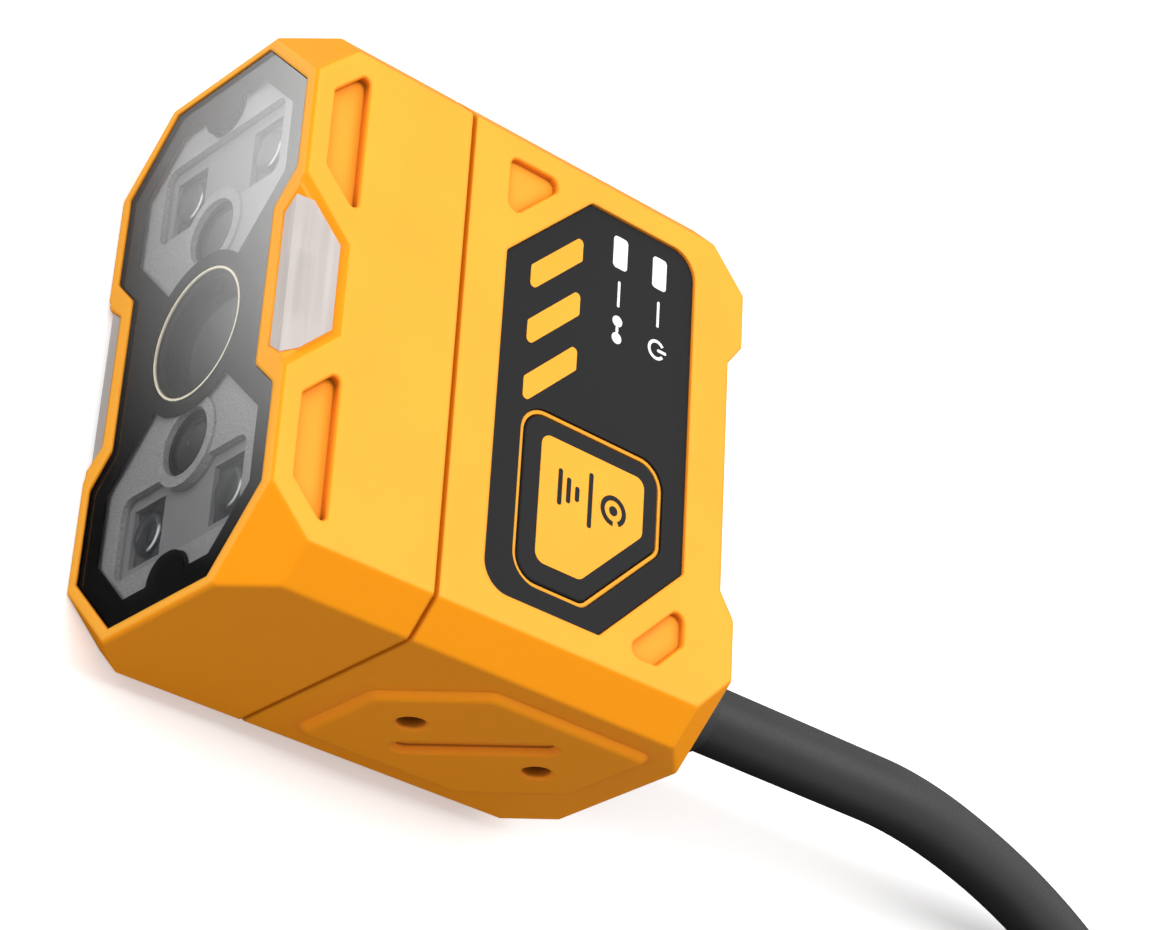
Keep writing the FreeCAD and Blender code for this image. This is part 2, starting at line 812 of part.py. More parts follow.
def rear_housing():
    body = new_body("rear_housing")
    prism(body, "shell", "Y", back("seam_depth"), "depth - seam_depth", [inset_facets("0")])
    cut_corners(body, rear=True)
    seam = value(back("seam_depth"))
    dress(body, "Fillet", "soft_edges", "Radius", "edge_round",
          lambda edge: edge.BoundBox.YMax > seam + NEAR)
    prism(body, "inside", "Y", back("seam_depth"), "%s - seam_depth" % INNER_REAR,
          [inset_facets("rear_wall")], cut=True)
    rear_channel(body)
    for sign in ("", "-"):
        mounting_pad(body, sign)
    panel_seat(body)
    nooks(body)
    inner_posts(body)
    return body


def rear_channel(body):
    """The shallow channel across the rear, with the round boss that the cable leaves through."""
    floor = back("depth - channel_depth")
    inner = "channel_half - channel_slope"
    grown = "channel_half + %s * channel_slope / channel_depth" % PAST
    beyond = back("depth + " + PAST)
    outline = [(minus(inner), floor), (inner, floor), (grown, beyond), (minus(grown), beyond)]
    prism(body, "channel", "Z", minus(PAST), "height + 2 * " + PAST, [outline], cut=True)
    wall = "channel_depth + rear_wall"
    place = [("cable_across", MIDDLE)]
    prism(body, "cable_boss", "Y", back(INNER_REAR), wall, circles(place, "cable_boss"))
    prism(body, "cable_hole", "Y", back(INNER_REAR), wall, circles(place, "cable_hole"), cut=True)


def mounting_pad(body, sign):
    """A raised pad on one end, with two threaded holes in bosses and a diagonal slot."""
    face, top = sign + "(width / 2)", sign + "(width / 2 + pad_raise)"

    mouth = value(top)
    front, rear = back("pad_front"), back("pad_rear")
    low, high = MIDDLE + " - pad_half", MIDDLE + " + pad_half"
    outline = [
        (front, low),
        ("%s - pad_cut" % rear, low),
        (rear, "%s + pad_cut" % low),
        (rear, high),
        ("%s + pad_cut" % front, high),
        (front, "%s - pad_cut" % high),
    ]

    def on_top(edge):
        return edge.BoundBox.XLength < NEAR and abs(edge.BoundBox.XMin - mouth) < NEAR

    prism(body, "pad", "X", face if not sign else top, "pad_raise", [rounded(outline, "pad_corner")])
    dress(body, "Chamfer", "pad_sides", "Size", "pad_slope", on_top)
    dress(body, "Fillet", "pad_edges", "Radius", "pad_round", on_top)
    boss_start = "width / 2 + pad_raise - mount_hole_depth - mount_boss_floor"
    boss_long = "mount_hole_depth + mount_boss_floor - pad_raise - rear_wall / 2"
    hole_start = "width / 2 + pad_raise - mount_hole_depth"
    if sign:
        boss_start, hole_start = "-(width / 2 - rear_wall / 2)", "-(width / 2 + pad_raise)"
    places = [(back(along), up) for along, up in mounting_places()]
    prism(body, "mount_bosses", "X", boss_start, boss_long, circles(places, "mount_boss"))
    prism(body, "mount_holes", "X", hole_start, "mount_hole_depth", circles(places, "mount_hole"), cut=True)
    across = value("2 * mount_hole")

    def at_hole(edge):
        return on_top(edge) and abs(edge.BoundBox.ZLength - across) < NEAR

    dress(body, "Chamfer", "mount_mouths", "Size", "mount_mouth", at_hole)
    middle = back("mount_middle")
    long = "(slot_long - slot_wide) / 2 / sqrt(2)"
    wide = "slot_wide / 2 / sqrt(2)"
    start = "width / 2 + pad_raise - slot_depth" if not sign else "-(width / 2 + pad_raise)"
    ends = [("%s %s %s" % (middle, s, long), "%s %s %s" % (MIDDLE, s, long)) for s in "+-"]
    bar = [
        ("%s - %s + %s" % (middle, long, wide), "%s - %s - %s" % (MIDDLE, long, wide)),
        ("%s + %s + %s" % (middle, long, wide), "%s + %s - %s" % (MIDDLE, long, wide)),
        ("%s + %s - %s" % (middle, long, wide), "%s + %s + %s" % (MIDDLE, long, wide)),
        ("%s - %s - %s" % (middle, long, wide), "%s - %s + %s" % (MIDDLE, long, wide)),
    ]
    prism(body, "slot", "X", start, "slot_depth", [bar], cut=True)
    for end in ends:
        prism(body, "slot_end", "X", start, "slot_depth", circles([end], "slot_wide / 2"), cut=True)
    reach = value("%s + slot_wide / 2" % long)
    centre = value(middle)

    def at_slot(edge):
        box = edge.BoundBox
        inside = max(abs(box.YMin - centre), abs(box.YMax - centre)) < reach + NEAR
        return on_top(edge) and inside and abs(box.ZLength - value("2 * (mount_hole + mount_mouth)")) > NEAR

    dress(body, "Chamfer", "slot_sides", "Size", "slot_slope", at_slot)


def panel_seat(body):
    """The panel's recess, the button's ridge and well, and the holes for the lamps."""
    seat = below_top("panel_seat")
    floor = below_top("well_drop")
    under = "%s - button_floor" % floor
    prism(body, "panel_recess", "Z", seat, "panel_seat", [panel_outline("0")], cut=True)
    prism(body, "button_block", "Z", under, "well_drop + button_floor - (rear_wall + panel_seat) / 2",
          [button_outline("-button_skirt")])
    prism(body, "ridge", "Z", seat, "ridge_rise", [button_outline("0")])
    prism(body, "well", "Z", floor, "well_drop - panel_seat + ridge_rise", [button_outline("ridge_wide")],
          cut=True)
    prism(body, "stem_hole", "Z", under, "button_floor", [BUTTON_MIDDLE + ("button_seal_hole",)], cut=True)
    holes = [pipe_outline(index, "close_fit") for index in (0, 1)]
    prism(body, "lamp_holes", "Z", below_top("rear_wall"), "rear_wall", holes, cut=True)


def nooks(body):
    """The small recesses in the two corners that the panel's cut corners leave free."""
    front = [
        ("-nook_edge", back("nook_front"), "nook_round"),
        ("nook_front_line - nook_front", back("nook_front"), "nook_round"),
        ("-nook_edge", back("nook_front_line + nook_edge"), "nook_round"),
    ]
    rear = [
        ("nook_edge", back("nook_rear_line - nook_edge"), "nook_round"),
        ("nook_edge", back("nook_rear_cut - nook_edge"), "nook_round"),
        ("nook_rear_cut - nook_rear", back("nook_rear"), "nook_round"),
        ("nook_rear_line - nook_rear", back("nook_rear"), "nook_round"),
    ]
    prism(body, "nooks", "Z", below_top("nook_depth"), "nook_depth", [front, rear], cut=True)
    soften_mouths(body, "nook_lips", "height", [front, rear])


def inner_posts(body):
    """What the case screws, the key board and the two rear boards are fastened to, and the heat path."""
    prism(body, "case_columns", "Y", back("seam_depth"), "case_column", circles(CASE_PLACES, "case_boss"))
    prism(body, "case_threads", "Y", back("seam_depth"), "case_screw_bite + loose_fit",
          circles(CASE_PLACES, "case_screw + thread_fit"), cut=True)
    key_top = below_top("key_board_drop")
    prism(body, "key_bosses", "Z", key_top, "key_board_drop - rear_wall / 2",
          circles(KEY_PLACES, "key_boss_radius"))
    prism(body, "key_threads", "Z", key_top, "key_screw_bite + loose_fit",
          circles(KEY_PLACES, "small_screw + thread_fit"), cut=True)
    prism(body, "stack_posts", "Y", back(PROCESSOR_REAR), "stack_post + rear_wall / 2",
          circles(STACK_PLACES, "stack_post_radius"))
    prism(body, "stack_threads", "Y", back(PROCESSOR_REAR), "stack_screw_bite + loose_fit",
          circles(STACK_PLACES, "stack_screw + thread_fit"), cut=True)
    lead = "%s + chip_thick + heat_pad_thick" % PROCESSOR_REAR
    prism(body, "heat_block", "Y", back(lead), "stack_post - chip_thick - heat_pad_thick + rear_wall / 2",
          [oblong("-chip_left", MIDDLE + " - chip_low", "chip_side", "chip_side")])


def seal_and_screws():
    seal = new_body("housing_seal")
    prism(seal, "ring", "Y", back("seam_depth - seal_depth"), "seal_depth",
          [inset_facets("seal_inset + close_fit"), inset_facets("seal_inset + seal_width - close_fit")])
    screws(new_body("case_screws", True), CASE_PLACES, "Y", "case_head_start", "case_head_thick",
           "case_head", "seam_depth + case_screw_bite", "case_screw", "case_key", "case_key_depth")


def hexagon(across, along, radius):
    points = []
    for turn in range(0, 360, 60):
        points.append(("%s + %s * cos(%d)" % (across, radius, turn),
                       "%s + %s * sin(%d)" % (along, radius, turn)))
    return points


def screws(body, places, axis, head, thick, head_radius, tip, radius, key, key_depth):
    """Screws whose heads are at the front: head, shank and a six-sided key hole."""
    prism(body, "heads", axis, back(head), thick, circles(places, head_radius))
    prism(body, "shanks", axis, back("%s + %s" % (head, thick)), "%s - (%s + %s)" % (tip, head, thick),
          circles(places, radius))
    holes = [hexagon(across, along, key) for across, along in places]
    prism(body, "keys", axis, back(head), key_depth, holes, cut=True)


# Window, mask and light frame

def window_and_mask():
    glass = new_body("front_window")
    prism(glass, "sheet", "Y", back("window_recess"), "window_thick", [window_outline("loose_fit")])
    mask = new_body("window_mask")
    start = back("window_recess + window_thick + mask_gap")
    prism(mask, "film", "Y", start, "mask_thick", [window_outline("loose_fit")])
    zones = []
    for sign in ("", "-"):
        zones.append(clear_zone(sign))
    prism(mask, "zones", "Y", start, "mask_thick", zones, cut=True)
    prism(mask, "hub", "Y", start, "mask_thick", [("0", MIDDLE, "hub_radius")])
    prism(mask, "bumps", "Y", start, "mask_thick", [screw_cover("")])
    prism(mask, "other_bumps", "Y", start, "mask_thick", [screw_cover("-")])
    prism(mask, "lens_hole", "Y", start, "mask_thick", [("0", MIDDLE, "trim_outer + loose_fit")], cut=True)


def screw_cover(sign):
    """The rounded tongue of the mask that hides a case screw at one end."""
    edge, tip = sign + "(width / 2 - zone_end + mask_thick)", sign + "(width / 2 - zone_end - bump_long)"
    low, high = MIDDLE + " - bump_half", MIDDLE + " + bump_half"
    return [(edge, low), (tip, low, "bump_round"), (tip, high, "bump_round"), (edge, high)]


def clear_zone(sign):
    """One clear field of the mask: it opens at 45 degrees from the lens towards the end."""
    half = "(width / 2 - zone_end)"
    tall = "(height / 2 - zone_side)"
    line = "((width + height) / 2 - zone_cut)"
    near = "(hub_radius / 2)"
    rise = [
        (near, "%s - zone_split" % near),
        ("%s + zone_split" % tall, tall),
        ("%s - %s" % (line, tall), tall),
        (half, "%s - %s" % (line, half)),
    ]
    points = [("%s(%s)" % (sign, x), "%s + (%s)" % (MIDDLE, z)) for x, z in rise]
    points += [("%s(%s)" % (sign, x), "%s - (%s)" % (MIDDLE, z)) for x, z in reversed(rise)]
    return points


def light_frame():
    body = new_body("light_frame")
    start, rear = "frame_start", "frame_start + frame_thick"
    prism(body, "plate", "Y", back(start), "frame_thick", [opening_outline("loose_fit")])
    troughs = []
    for sign in ("", "-"):
        field = oblong(sign + "(trough_near + trough_far) / 2", MIDDLE, "trough_far - trough_near",
                       "2 * trough_half")
        troughs.append(rounded(field, "trough_round"))
    prism(body, "troughs", "Y", back(start), "trough_depth", troughs, cut=True)
    aimers = [("aimer_spread", MIDDLE), ("-aimer_spread", MIDDLE)]
    boss_start = "frame_start - aimer_boss_rise"
    boss_long = "aimer_boss_rise + frame_thick"
    prism(body, "aimer_bosses", "Y", back(boss_start), boss_long, circles(aimers, "aimer_boss"))
    prism(body, "aimer_holes", "Y", back(boss_start), boss_long, circles(aimers, "aimer_hole"), cut=True)
    prism(body, "lens_hole", "Y", back(boss_start), boss_long, [("0", MIDDLE, "trim_outer + lens_room")],
          cut=True)
    windows = [oblong(x, z, "lamp_long", "lamp_tall") for x, z in lamp_places()]
    prism(body, "lamp_windows", "Y", back(start), "frame_thick", windows, cut=True)
    prism(body, "screw_reliefs", "Y", back(start), "frame_thick",
          circles(CASE_PLACES, "case_boss + loose_fit"), cut=True)
    prism(body, "legs", "Y", back(rear), "light_board_start - (%s)" % rear,
          circles(four_places("frame_leg_spread", "frame_leg_height"), "frame_leg_radius"))


def lamp_places():
    return four_places("lamp_spread", "lamp_height")


def lamps():
    """Four collimating lenses on the light board, each over its emitter and filling its window."""
    for index, (across, along) in enumerate(lamp_places(), start=1):
        lens = new_body("lamp_lens_%d" % index)
        base = "light_board_start - lamp_base_thick"
        prism(lens, "base", "Y", back(base), "lamp_base_thick",
              [oblong(across, along, "lamp_base_long", "lamp_base_tall")])
        face = "frame_start + trough_depth + lamp_sink"
        front = "%s - lamp_dome" % face
        prism(lens, "barrel", "Y", back(front), "%s - (%s)" % (base, front),
              [(across, along, "lamp_radius")])
        prism(lens, "flange", "Y", back(face), "lamp_flange",
              [oblong(across, along, "lamp_long - 2 * loose_fit", "lamp_tall - 2 * loose_fit")])
        dress(lens, "Fillet", "crown", "Radius", "lamp_crown",
              lambda edge, y=value(back(front)): abs(edge.BoundBox.YMax - y) < NEAR)
        room = "emitter_side + 2 * loose_fit"
        prism(lens, "emitter_room", "Y", back("light_board_start - emitter_room"), "emitter_room",
              [oblong(across, along, room, room)], cut=True)
    for index, (across, along) in enumerate(lamp_places(), start=1):
        chip = new_body("emitter_%d" % index)
        prism(chip, "chip", "Y", back("light_board_start - emitter_thick"), "emitter_thick",
              [oblong(across, along, "emitter_side", "emitter_side")])


def aimers():
    for index, sign in enumerate(("", "-"), start=1):
        barrel = new_body("aimer_barrel_%d" % index)
        outer = "aimer_hole - loose_fit"
        seat = "aimer_front + aimer_lens_seat"
        turned(barrel, "tube", [
            ("aimer_lens_radius + close_fit", back("aimer_front")),
            (outer, back("aimer_front")),
            (outer, back("light_board_start")),
            ("aimer_bore", back("light_board_start")),
            ("aimer_bore", back(seat)),
            ("aimer_lens_radius + close_fit", back(seat)),
        ])
        move(barrel, sign + "aimer_spread", "0", MIDDLE)
        crowned_glass("aimer_lens_%d" % index, sign + "aimer_spread", "aimer_lens_radius",
                      "aimer_lens_crown", "%s - aimer_lens_thick" % seat, "aimer_lens_thick")


# Lens and sensor

def objective():
    """The lens: a barrel with a trim ring, two glasses and the holder that carries it on its board."""
    barrel = new_body("lens_barrel")
    front, rear = "lens_front", "lens_rear"
    turned(barrel, "barrel", [
        ("lens_mouth", back(front)),
        ("lens_radius", back(front)),
        ("lens_radius", back(rear)),
        ("rear_glass_radius - lens_room", back(rear)),
        ("rear_glass_radius - lens_room", back("%s - lens_room" % rear)),
        ("rear_glass_radius + close_fit", back("%s - lens_room" % rear)),
        ("rear_glass_radius + close_fit", back("%s - lens_room - rear_glass_thick" % rear)),
        ("lens_bore", back("%s + lens_seat + front_glass_thick" % front)),
        ("front_glass_radius + close_fit", back("%s + lens_seat + front_glass_thick" % front)),
        ("front_glass_radius + close_fit", back("%s + lens_seat" % front)),
    ])
    move(barrel, "0", "0", MIDDLE)
    ring = new_body("lens_trim_ring")
    turned(ring, "ring", [
        ("trim_inner", back("%s - trim_thick" % front)),
        ("trim_outer", back("%s - trim_thick" % front)),
        ("trim_outer", back(front)),
        ("trim_inner", back(front)),
    ])
    move(ring, "0", "0", MIDDLE)
    crowned_glass("front_lens_glass", "0", "front_glass_radius", "front_glass_crown",
                  "%s + lens_seat" % front, "front_glass_thick")
    crowned_glass("rear_lens_glass", "0", "rear_glass_radius", "rear_glass_crown",
                  "%s - lens_room - rear_glass_thick" % rear, "rear_glass_thick")


def crowned_glass(label, across, radius, crown, rim, thick):
    """A lens element: a disc whose front is a part of a sphere, risen by its crown at the middle."""
    bow = "(%s * %s + %s * %s) / (2 * %s)" % (radius, radius, crown, crown, crown)
    disc = doc.addObject("Part::Cylinder", label + "_disc")
    bind(disc, "Radius", radius)
    bind(disc, "Height", "%s + %s" % (crown, thick))
    disc.Placement = Placement(Vector(), Rotation(Vector(1, 0, 0), -90))
    move(disc, across, back("%s - %s" % (rim, crown)), MIDDLE)
    ball = doc.addObject("Part::Sphere", label + "_ball")
    bind(ball, "Radius", bow)
    ball.Placement = Placement(Vector(), Rotation(Vector(1, 0, 0), 90))
    move(ball, across, back("%s - %s + %s" % (rim, crown, bow)), MIDDLE)
    glass = doc.addObject("Part::Common", label)
    glass.Label = label
    glass.Base = disc
    glass.Tool = ball
    nodes.append(glass)


def sensor_group():
    holder = new_body("lens_holder")
    side = "2 * holder_half"
    bore = "lens_radius + close_fit"
    long = "sensor_board_start - holder_front"
    prism(holder, "block", "Y", back("holder_front"), long, [oblong("0", MIDDLE, side, side)])
    prism(holder, "bore", "Y", back("holder_front"), long, [("0", MIDDLE, bore)], cut=True)
    sensor = new_body("image_sensor")
    prism(sensor, "chip", "Y", back("sensor_board_start - sensor_thick"), "sensor_thick",
          [oblong("0", MIDDLE, "sensor_long", "sensor_tall")])
    board = new_body("sensor_board")
    outline = facets("sensor_board_end", "sensor_board_side",
                     "sensor_board_end + sensor_board_side + edge_chamfer")
    prism(board, "board", "Y", back("sensor_board_start"), "sensor_board_thick",
          [outline] + circles(SPACER_PLACES, "small_screw + loose_fit"))
    spacers = new_body("sensor_spacers", True)
    gap = "light_board_start + light_board_thick"
    prism(spacers, "tubes", "Y", back(gap), "sensor_board_start - (%s)" % gap,
          circles(SPACER_PLACES, "spacer_radius") + circles(SPACER_PLACES, "small_screw + loose_fit"))
    fixings = new_body("sensor_screws", True)
    rear = "sensor_board_start + sensor_board_thick"
    prism(fixings, "heads", "Y", back(rear), "small_head_thick", circles(SPACER_PLACES, "small_head"))
    prism(fixings, "shanks", "Y", back("light_board_start"), "%s - light_board_start" % rear,
          circles(SPACER_PLACES, "small_screw"))


def light_board():
    board = new_body("light_board")
    holes = circles(POST_PLACES, "small_screw + loose_fit")
    holes += circles(SPACER_PLACES, "small_screw + thread_fit")
    prism(board, "board", "Y", back("light_board_start"), "light_board_thick",
          [opening_behind("board_edge_gap"), ("0", MIDDLE, "lens_radius + lens_room")] + holes)
    prism(board, "boss_reliefs", "Y", back("light_board_start"), "light_board_thick",
          circles(CASE_PLACES, "case_boss + board_edge_gap"), cut=True)
    fixings = new_body("light_board_screws", True)
    rear = "light_board_start + light_board_thick"
    prism(fixings, "heads", "Y", back(rear), "small_head_thick", circles(POST_PLACES, "small_head"))
    tip = "post_start + 4 * thread_fit"
    prism(fixings, "shanks", "Y", back(tip), "%s - (%s)" % (rear, tip), circles(POST_PLACES, "small_screw"))


def light_wedges():
    for label, upper in (("light_wedge_top", True), ("light_wedge_bottom", False)):
        body = new_body(label)
        floor, face = face_heights(upper, "wedge_drop - close_fit", "wedge_set")
        shrink_floor = "wedge_taper + close_fit"
        shrink_face = "wedge_taper * wedge_set / wedge_drop + close_fit"
        start = minus("window_recess")
        loft(body, "wedge", "Z", floor, wedge_outline(shrink_floor, start),
             face, wedge_outline(shrink_face, start))
        wedge_bevel(body, upper)
        slot = oblong("0", back("stem_start + stem_thick / 2"), "2 * stem_half", "stem_thick")
        long = "notch_drop + opening_ledge - wedge_drop + close_fit"
        start = below_top("notch_drop + opening_ledge") if upper else "wedge_drop - close_fit"
        prism(body, "stem", "Z", start, long, [slot])


def wedge_bevel(body, upper):
    """Takes the wedge's front edge off, longer along Y than it is high."""
    fall = "wedge_bevel_high / wedge_bevel_long"
    near, far = "window_recess - " + PAST, "window_recess + wedge_bevel_long + " + PAST
    drop = "wedge_set + wedge_bevel_high + %s * %s" % (PAST, fall)
    rise = "wedge_set - %s * %s" % (PAST, fall)
    low, high = face_heights(upper, drop, rise)
    outline = [(back(near), low), (back(far), high), (back(near), high)]
    prism(body, "bevel", "X", minus("width / 2"), "width", [outline], cut=True)


# Panel, button and key board

def panel():
    body = new_body("keypad_panel")
    openings = [button_outline("-panel_fit")] + [pipe_outline(index, "close_fit") for index in (0, 1)]
    prism(body, "sheet", "Z", below_top("panel_seat"), "panel_thick",
          [panel_outline("panel_fit")] + openings)


def button():
    cap = new_body("button_cap")
    bottom = below_top("button_top + button_thick")
    prism(cap, "cap", "Z", bottom, "button_thick", [button_outline("ridge_wide + button_gap")])
    top = value(below_top("button_top"))
    dress(cap, "Fillet", "top_edge", "Radius", "button_edge",
          lambda edge: edge.BoundBox.ZMin > top - NEAR)
    prism(cap, "stem", "Z", below_top("button_stem_end"), "button_stem_end - button_top - button_thick",
          [BUTTON_MIDDLE + ("button_stem",)])
    seal = new_body("button_seal")
    prism(seal, "ring", "Z", below_top("well_drop + button_seal_thick"), "button_seal_thick",
          [BUTTON_MIDDLE + ("button_seal_hole",), BUTTON_MIDDLE + ("button_stem + close_fit",)])
    plunger = new_body("switch_plunger")
    prism(plunger, "pin", "Z", below_top("button_stem_end + plunger_long"), "plunger_long",
          [BUTTON_MIDDLE + ("plunger_radius",)])
    switch = new_body("switch_body")
    case = oblong(*BUTTON_MIDDLE, "2 * switch_half", "2 * switch_half")
    prism(switch, "case", "Z", below_top("key_board_drop"), "switch_thick",
          [case, BUTTON_MIDDLE + ("plunger_radius + close_fit",)])


def indicators():
    for index in (0, 1):
        pipe = new_body("indicator_pipe_%d" % (index + 1))
        low = "key_board_drop - indicator_thick - pipe_gap"
        prism(pipe, "pipe", "Z", below_top(low), "%s - (%s)" % (low, PANEL_TOP), [pipe_outline(index, "0")])
        prism(pipe, "flange", "Z", below_top("rear_wall + pipe_flange_thick"), "pipe_flange_thick",
              [pipe_outline(index, "pipe_flange")])
        chip = new_body("indicator_%d" % (index + 1))
        middle = back("pipe_first + pipe_wide / 2 + %d * pipe_pitch" % index)
        prism(chip, "chip", "Z", below_top("key_board_drop"), "indicator_thick",
              [oblong("-(pipe_near + pipe_far) / 2", middle, "indicator_long", "indicator_wide")])


def key_board():
    board = new_body("key_board")
    low = below_top("key_board_drop + key_board_thick")
    outline = [
        ("-key_board_left", back("key_board_front")),
        ("key_board_right", back("key_board_front")),
        ("key_board_right", back("key_board_rear")),
        ("-key_board_left", back("key_board_rear")),
    ]
    prism(board, "board", "Z", low, "key_board_thick",
          [outline] + circles(KEY_PLACES, "small_screw + loose_fit"))
    fixings = new_body("key_board_screws", True)
    prism(fixings, "heads", "Z", "%s - small_head_thick" % low, "small_head_thick",
          circles(KEY_PLACES, "small_head"))
    prism(fixings, "shanks", "Z", low, "key_board_thick + key_screw_bite",
          circles(KEY_PLACES, "small_screw"))


# Rear boards and cable entry

def stack():
    """The interface and processor boards, spaced on one set of screws from posts in the rear wall."""
    half = "(width / 2 - rear_wall - stack_board_end)"
    outline = [(minus(half), STACK_LOW), (half, STACK_LOW), (half, STACK_HIGH), (minus(half), STACK_HIGH)]
    holes = circles(STACK_PLACES, "stack_screw + loose_fit")
    for label, start in (("interface_board", INTERFACE_FRONT), ("processor_board", PROCESSOR_FRONT)):
        board = new_body(label)
        prism(board, "board", "Y", back(start), "stack_board_thick", [outline] + holes)
    spacers = new_body("board_spacers", True)
    prism(spacers, "tubes", "Y", back(INTERFACE_REAR), "stack_gap",
          circles(STACK_PLACES, "stack_post_radius") + holes)
    screws(new_body("stack_screws", True), STACK_PLACES, "Y", "%s - stack_head_thick" % INTERFACE_FRONT,
           "stack_head_thick", "stack_head", "%s + stack_screw_bite" % PROCESSOR_REAR, "stack_screw",
           "stack_screw", "stack_head_thick / 2")
    middle = ("-chip_left", MIDDLE + " - chip_low")
    chip = new_body("processor_chip")
    prism(chip, "chip", "Y", back(PROCESSOR_REAR), "chip_thick",
          [oblong(*middle, "chip_side", "chip_side")])
    heat_pad = new_body("thermal_pad")
    prism(heat_pad, "pad", "Y", back("%s + chip_thick" % PROCESSOR_REAR), "heat_pad_thick",
          [oblong(*middle, "chip_side", "chip_side")])
    memory = new_body("memory_chips", True)
    chips = []
    for sign in ("", "-"):
        chips.append(oblong(sign + "memory_left / 2", MIDDLE + " - chip_low", "memory_long", "memory_tall"))
    prism(memory, "chips", "Y", back("%s - memory_thick" % PROCESSOR_FRONT), "memory_thick", chips)


def jumper():
    """The flexible strip from the sensor board to the interface board, with a connector on each."""
    body = new_body("sensor_flex")
    start = "sensor_board_start + sensor_board_thick"
    long = "%s - (%s)" % (INTERFACE_FRONT, start)
    strip = oblong("0", MIDDLE, "2 * flex_half", "flex_thick")
    socket = oblong("0", MIDDLE, "2 * flex_half + flex_plug_thick", "flex_plug_tall")
    prism(body, "strip", "Y", back(start), long, [strip])
    prism(body, "first_plug", "Y", back(start), "flex_plug_thick", [socket])
    prism(body, "second_plug", "Y", back("%s - flex_plug_thick" % INTERFACE_FRONT), "flex_plug_thick",
          [socket])


def cable_entry():
    socket = new_body("lead_socket")
    prism(socket, "socket", "Y", back(PROCESSOR_REAR), "stack_post - cable_inner_end",
          [oblong("cable_across", MIDDLE, "socket_long", "socket_tall")])
    gland = new_body("cable_gland")
    bore = "cable_radius + thread_fit"
    inner, outer = INNER_REAR, "depth"
    profile = [
        (bore, back("%s - gland_flange_thick" % inner)),
        ("gland_flange", back("%s - gland_flange_thick" % inner)),
        ("gland_flange", back(inner)),
        ("cable_hole - close_fit", back(inner)),
        ("cable_hole - close_fit", back(outer)),
        ("gland_collar", back(outer)),
        ("gland_collar", back("depth + gland_collar_long")),
        ("gland_tip", back("depth + gland_long")),
        (bore, back("depth + gland_long")),
    ]
    turned(gland, "sleeve", profile)
    for index in GLAND_GAPS:
        start = "depth + gland_collar_long + %d * gland_rib" % index
        turned(gland, "rib_gap", [
            ("gland_rib_floor", back(start)),
            ("gland_collar", back(start)),
            ("gland_collar", back("%s + gland_rib" % start)),
            ("gland_rib_floor", back("%s + gland_rib" % start)),
        ], cut=True)
    move(gland, "cable_across", "0", MIDDLE)


def lead():
    """The cable: straight runs joined by the largest tangent arcs that they allow."""
    points = [Vector(*point) for point in ROUTE]
    radius = value("cable_radius")
    edges = []
    radii = []
    start = points[0]
    for before, corner, after in zip(points, points[1:], points[2:]):
        come, leave = corner - before, after - corner
        turn = come.getAngle(leave)
        share = ARC_SHARE * min(come.Length, leave.Length)
        bend = share / math.tan(turn / 2)
        entry = corner - come * (share / come.Length)
        away = corner + leave * (share / leave.Length)
        inward = (entry + away) * 0.5 - corner
        centre = corner + inward * (math.hypot(share, bend) / inward.Length)
        top = centre + (corner - centre) * (bend / (corner - centre).Length)
        edges.append(Part.LineSegment(start, entry).toShape())
        edges.append(Part.Arc(entry, top, away).toShape())
        radii.append(bend)
        start = away
    edges.append(Part.LineSegment(start, points[-1]).toShape())
    path = Part.Wire(edges)
    ring = Part.Wire([Part.Circle(points[0], points[1] - points[0], radius).toShape()])
    tube = path.makePipeShell([ring], True, True)
    if tube.Volume < 0:
        tube.reverse()
    expected = math.pi * radius ** 2 * path.Length
    print("lead length %.1f mm" % path.Length)
    print("lead volume over section times length %.5f" % (tube.Volume / expected))
    print("lead bend radii", ", ".join("%.0f" % bend for bend in radii))
    item = doc.addObject("Part::Feature", "lead")
    item.Label = "lead"
    item.Shape = tube
    item.Placement = Placement()
    nodes.append(item)


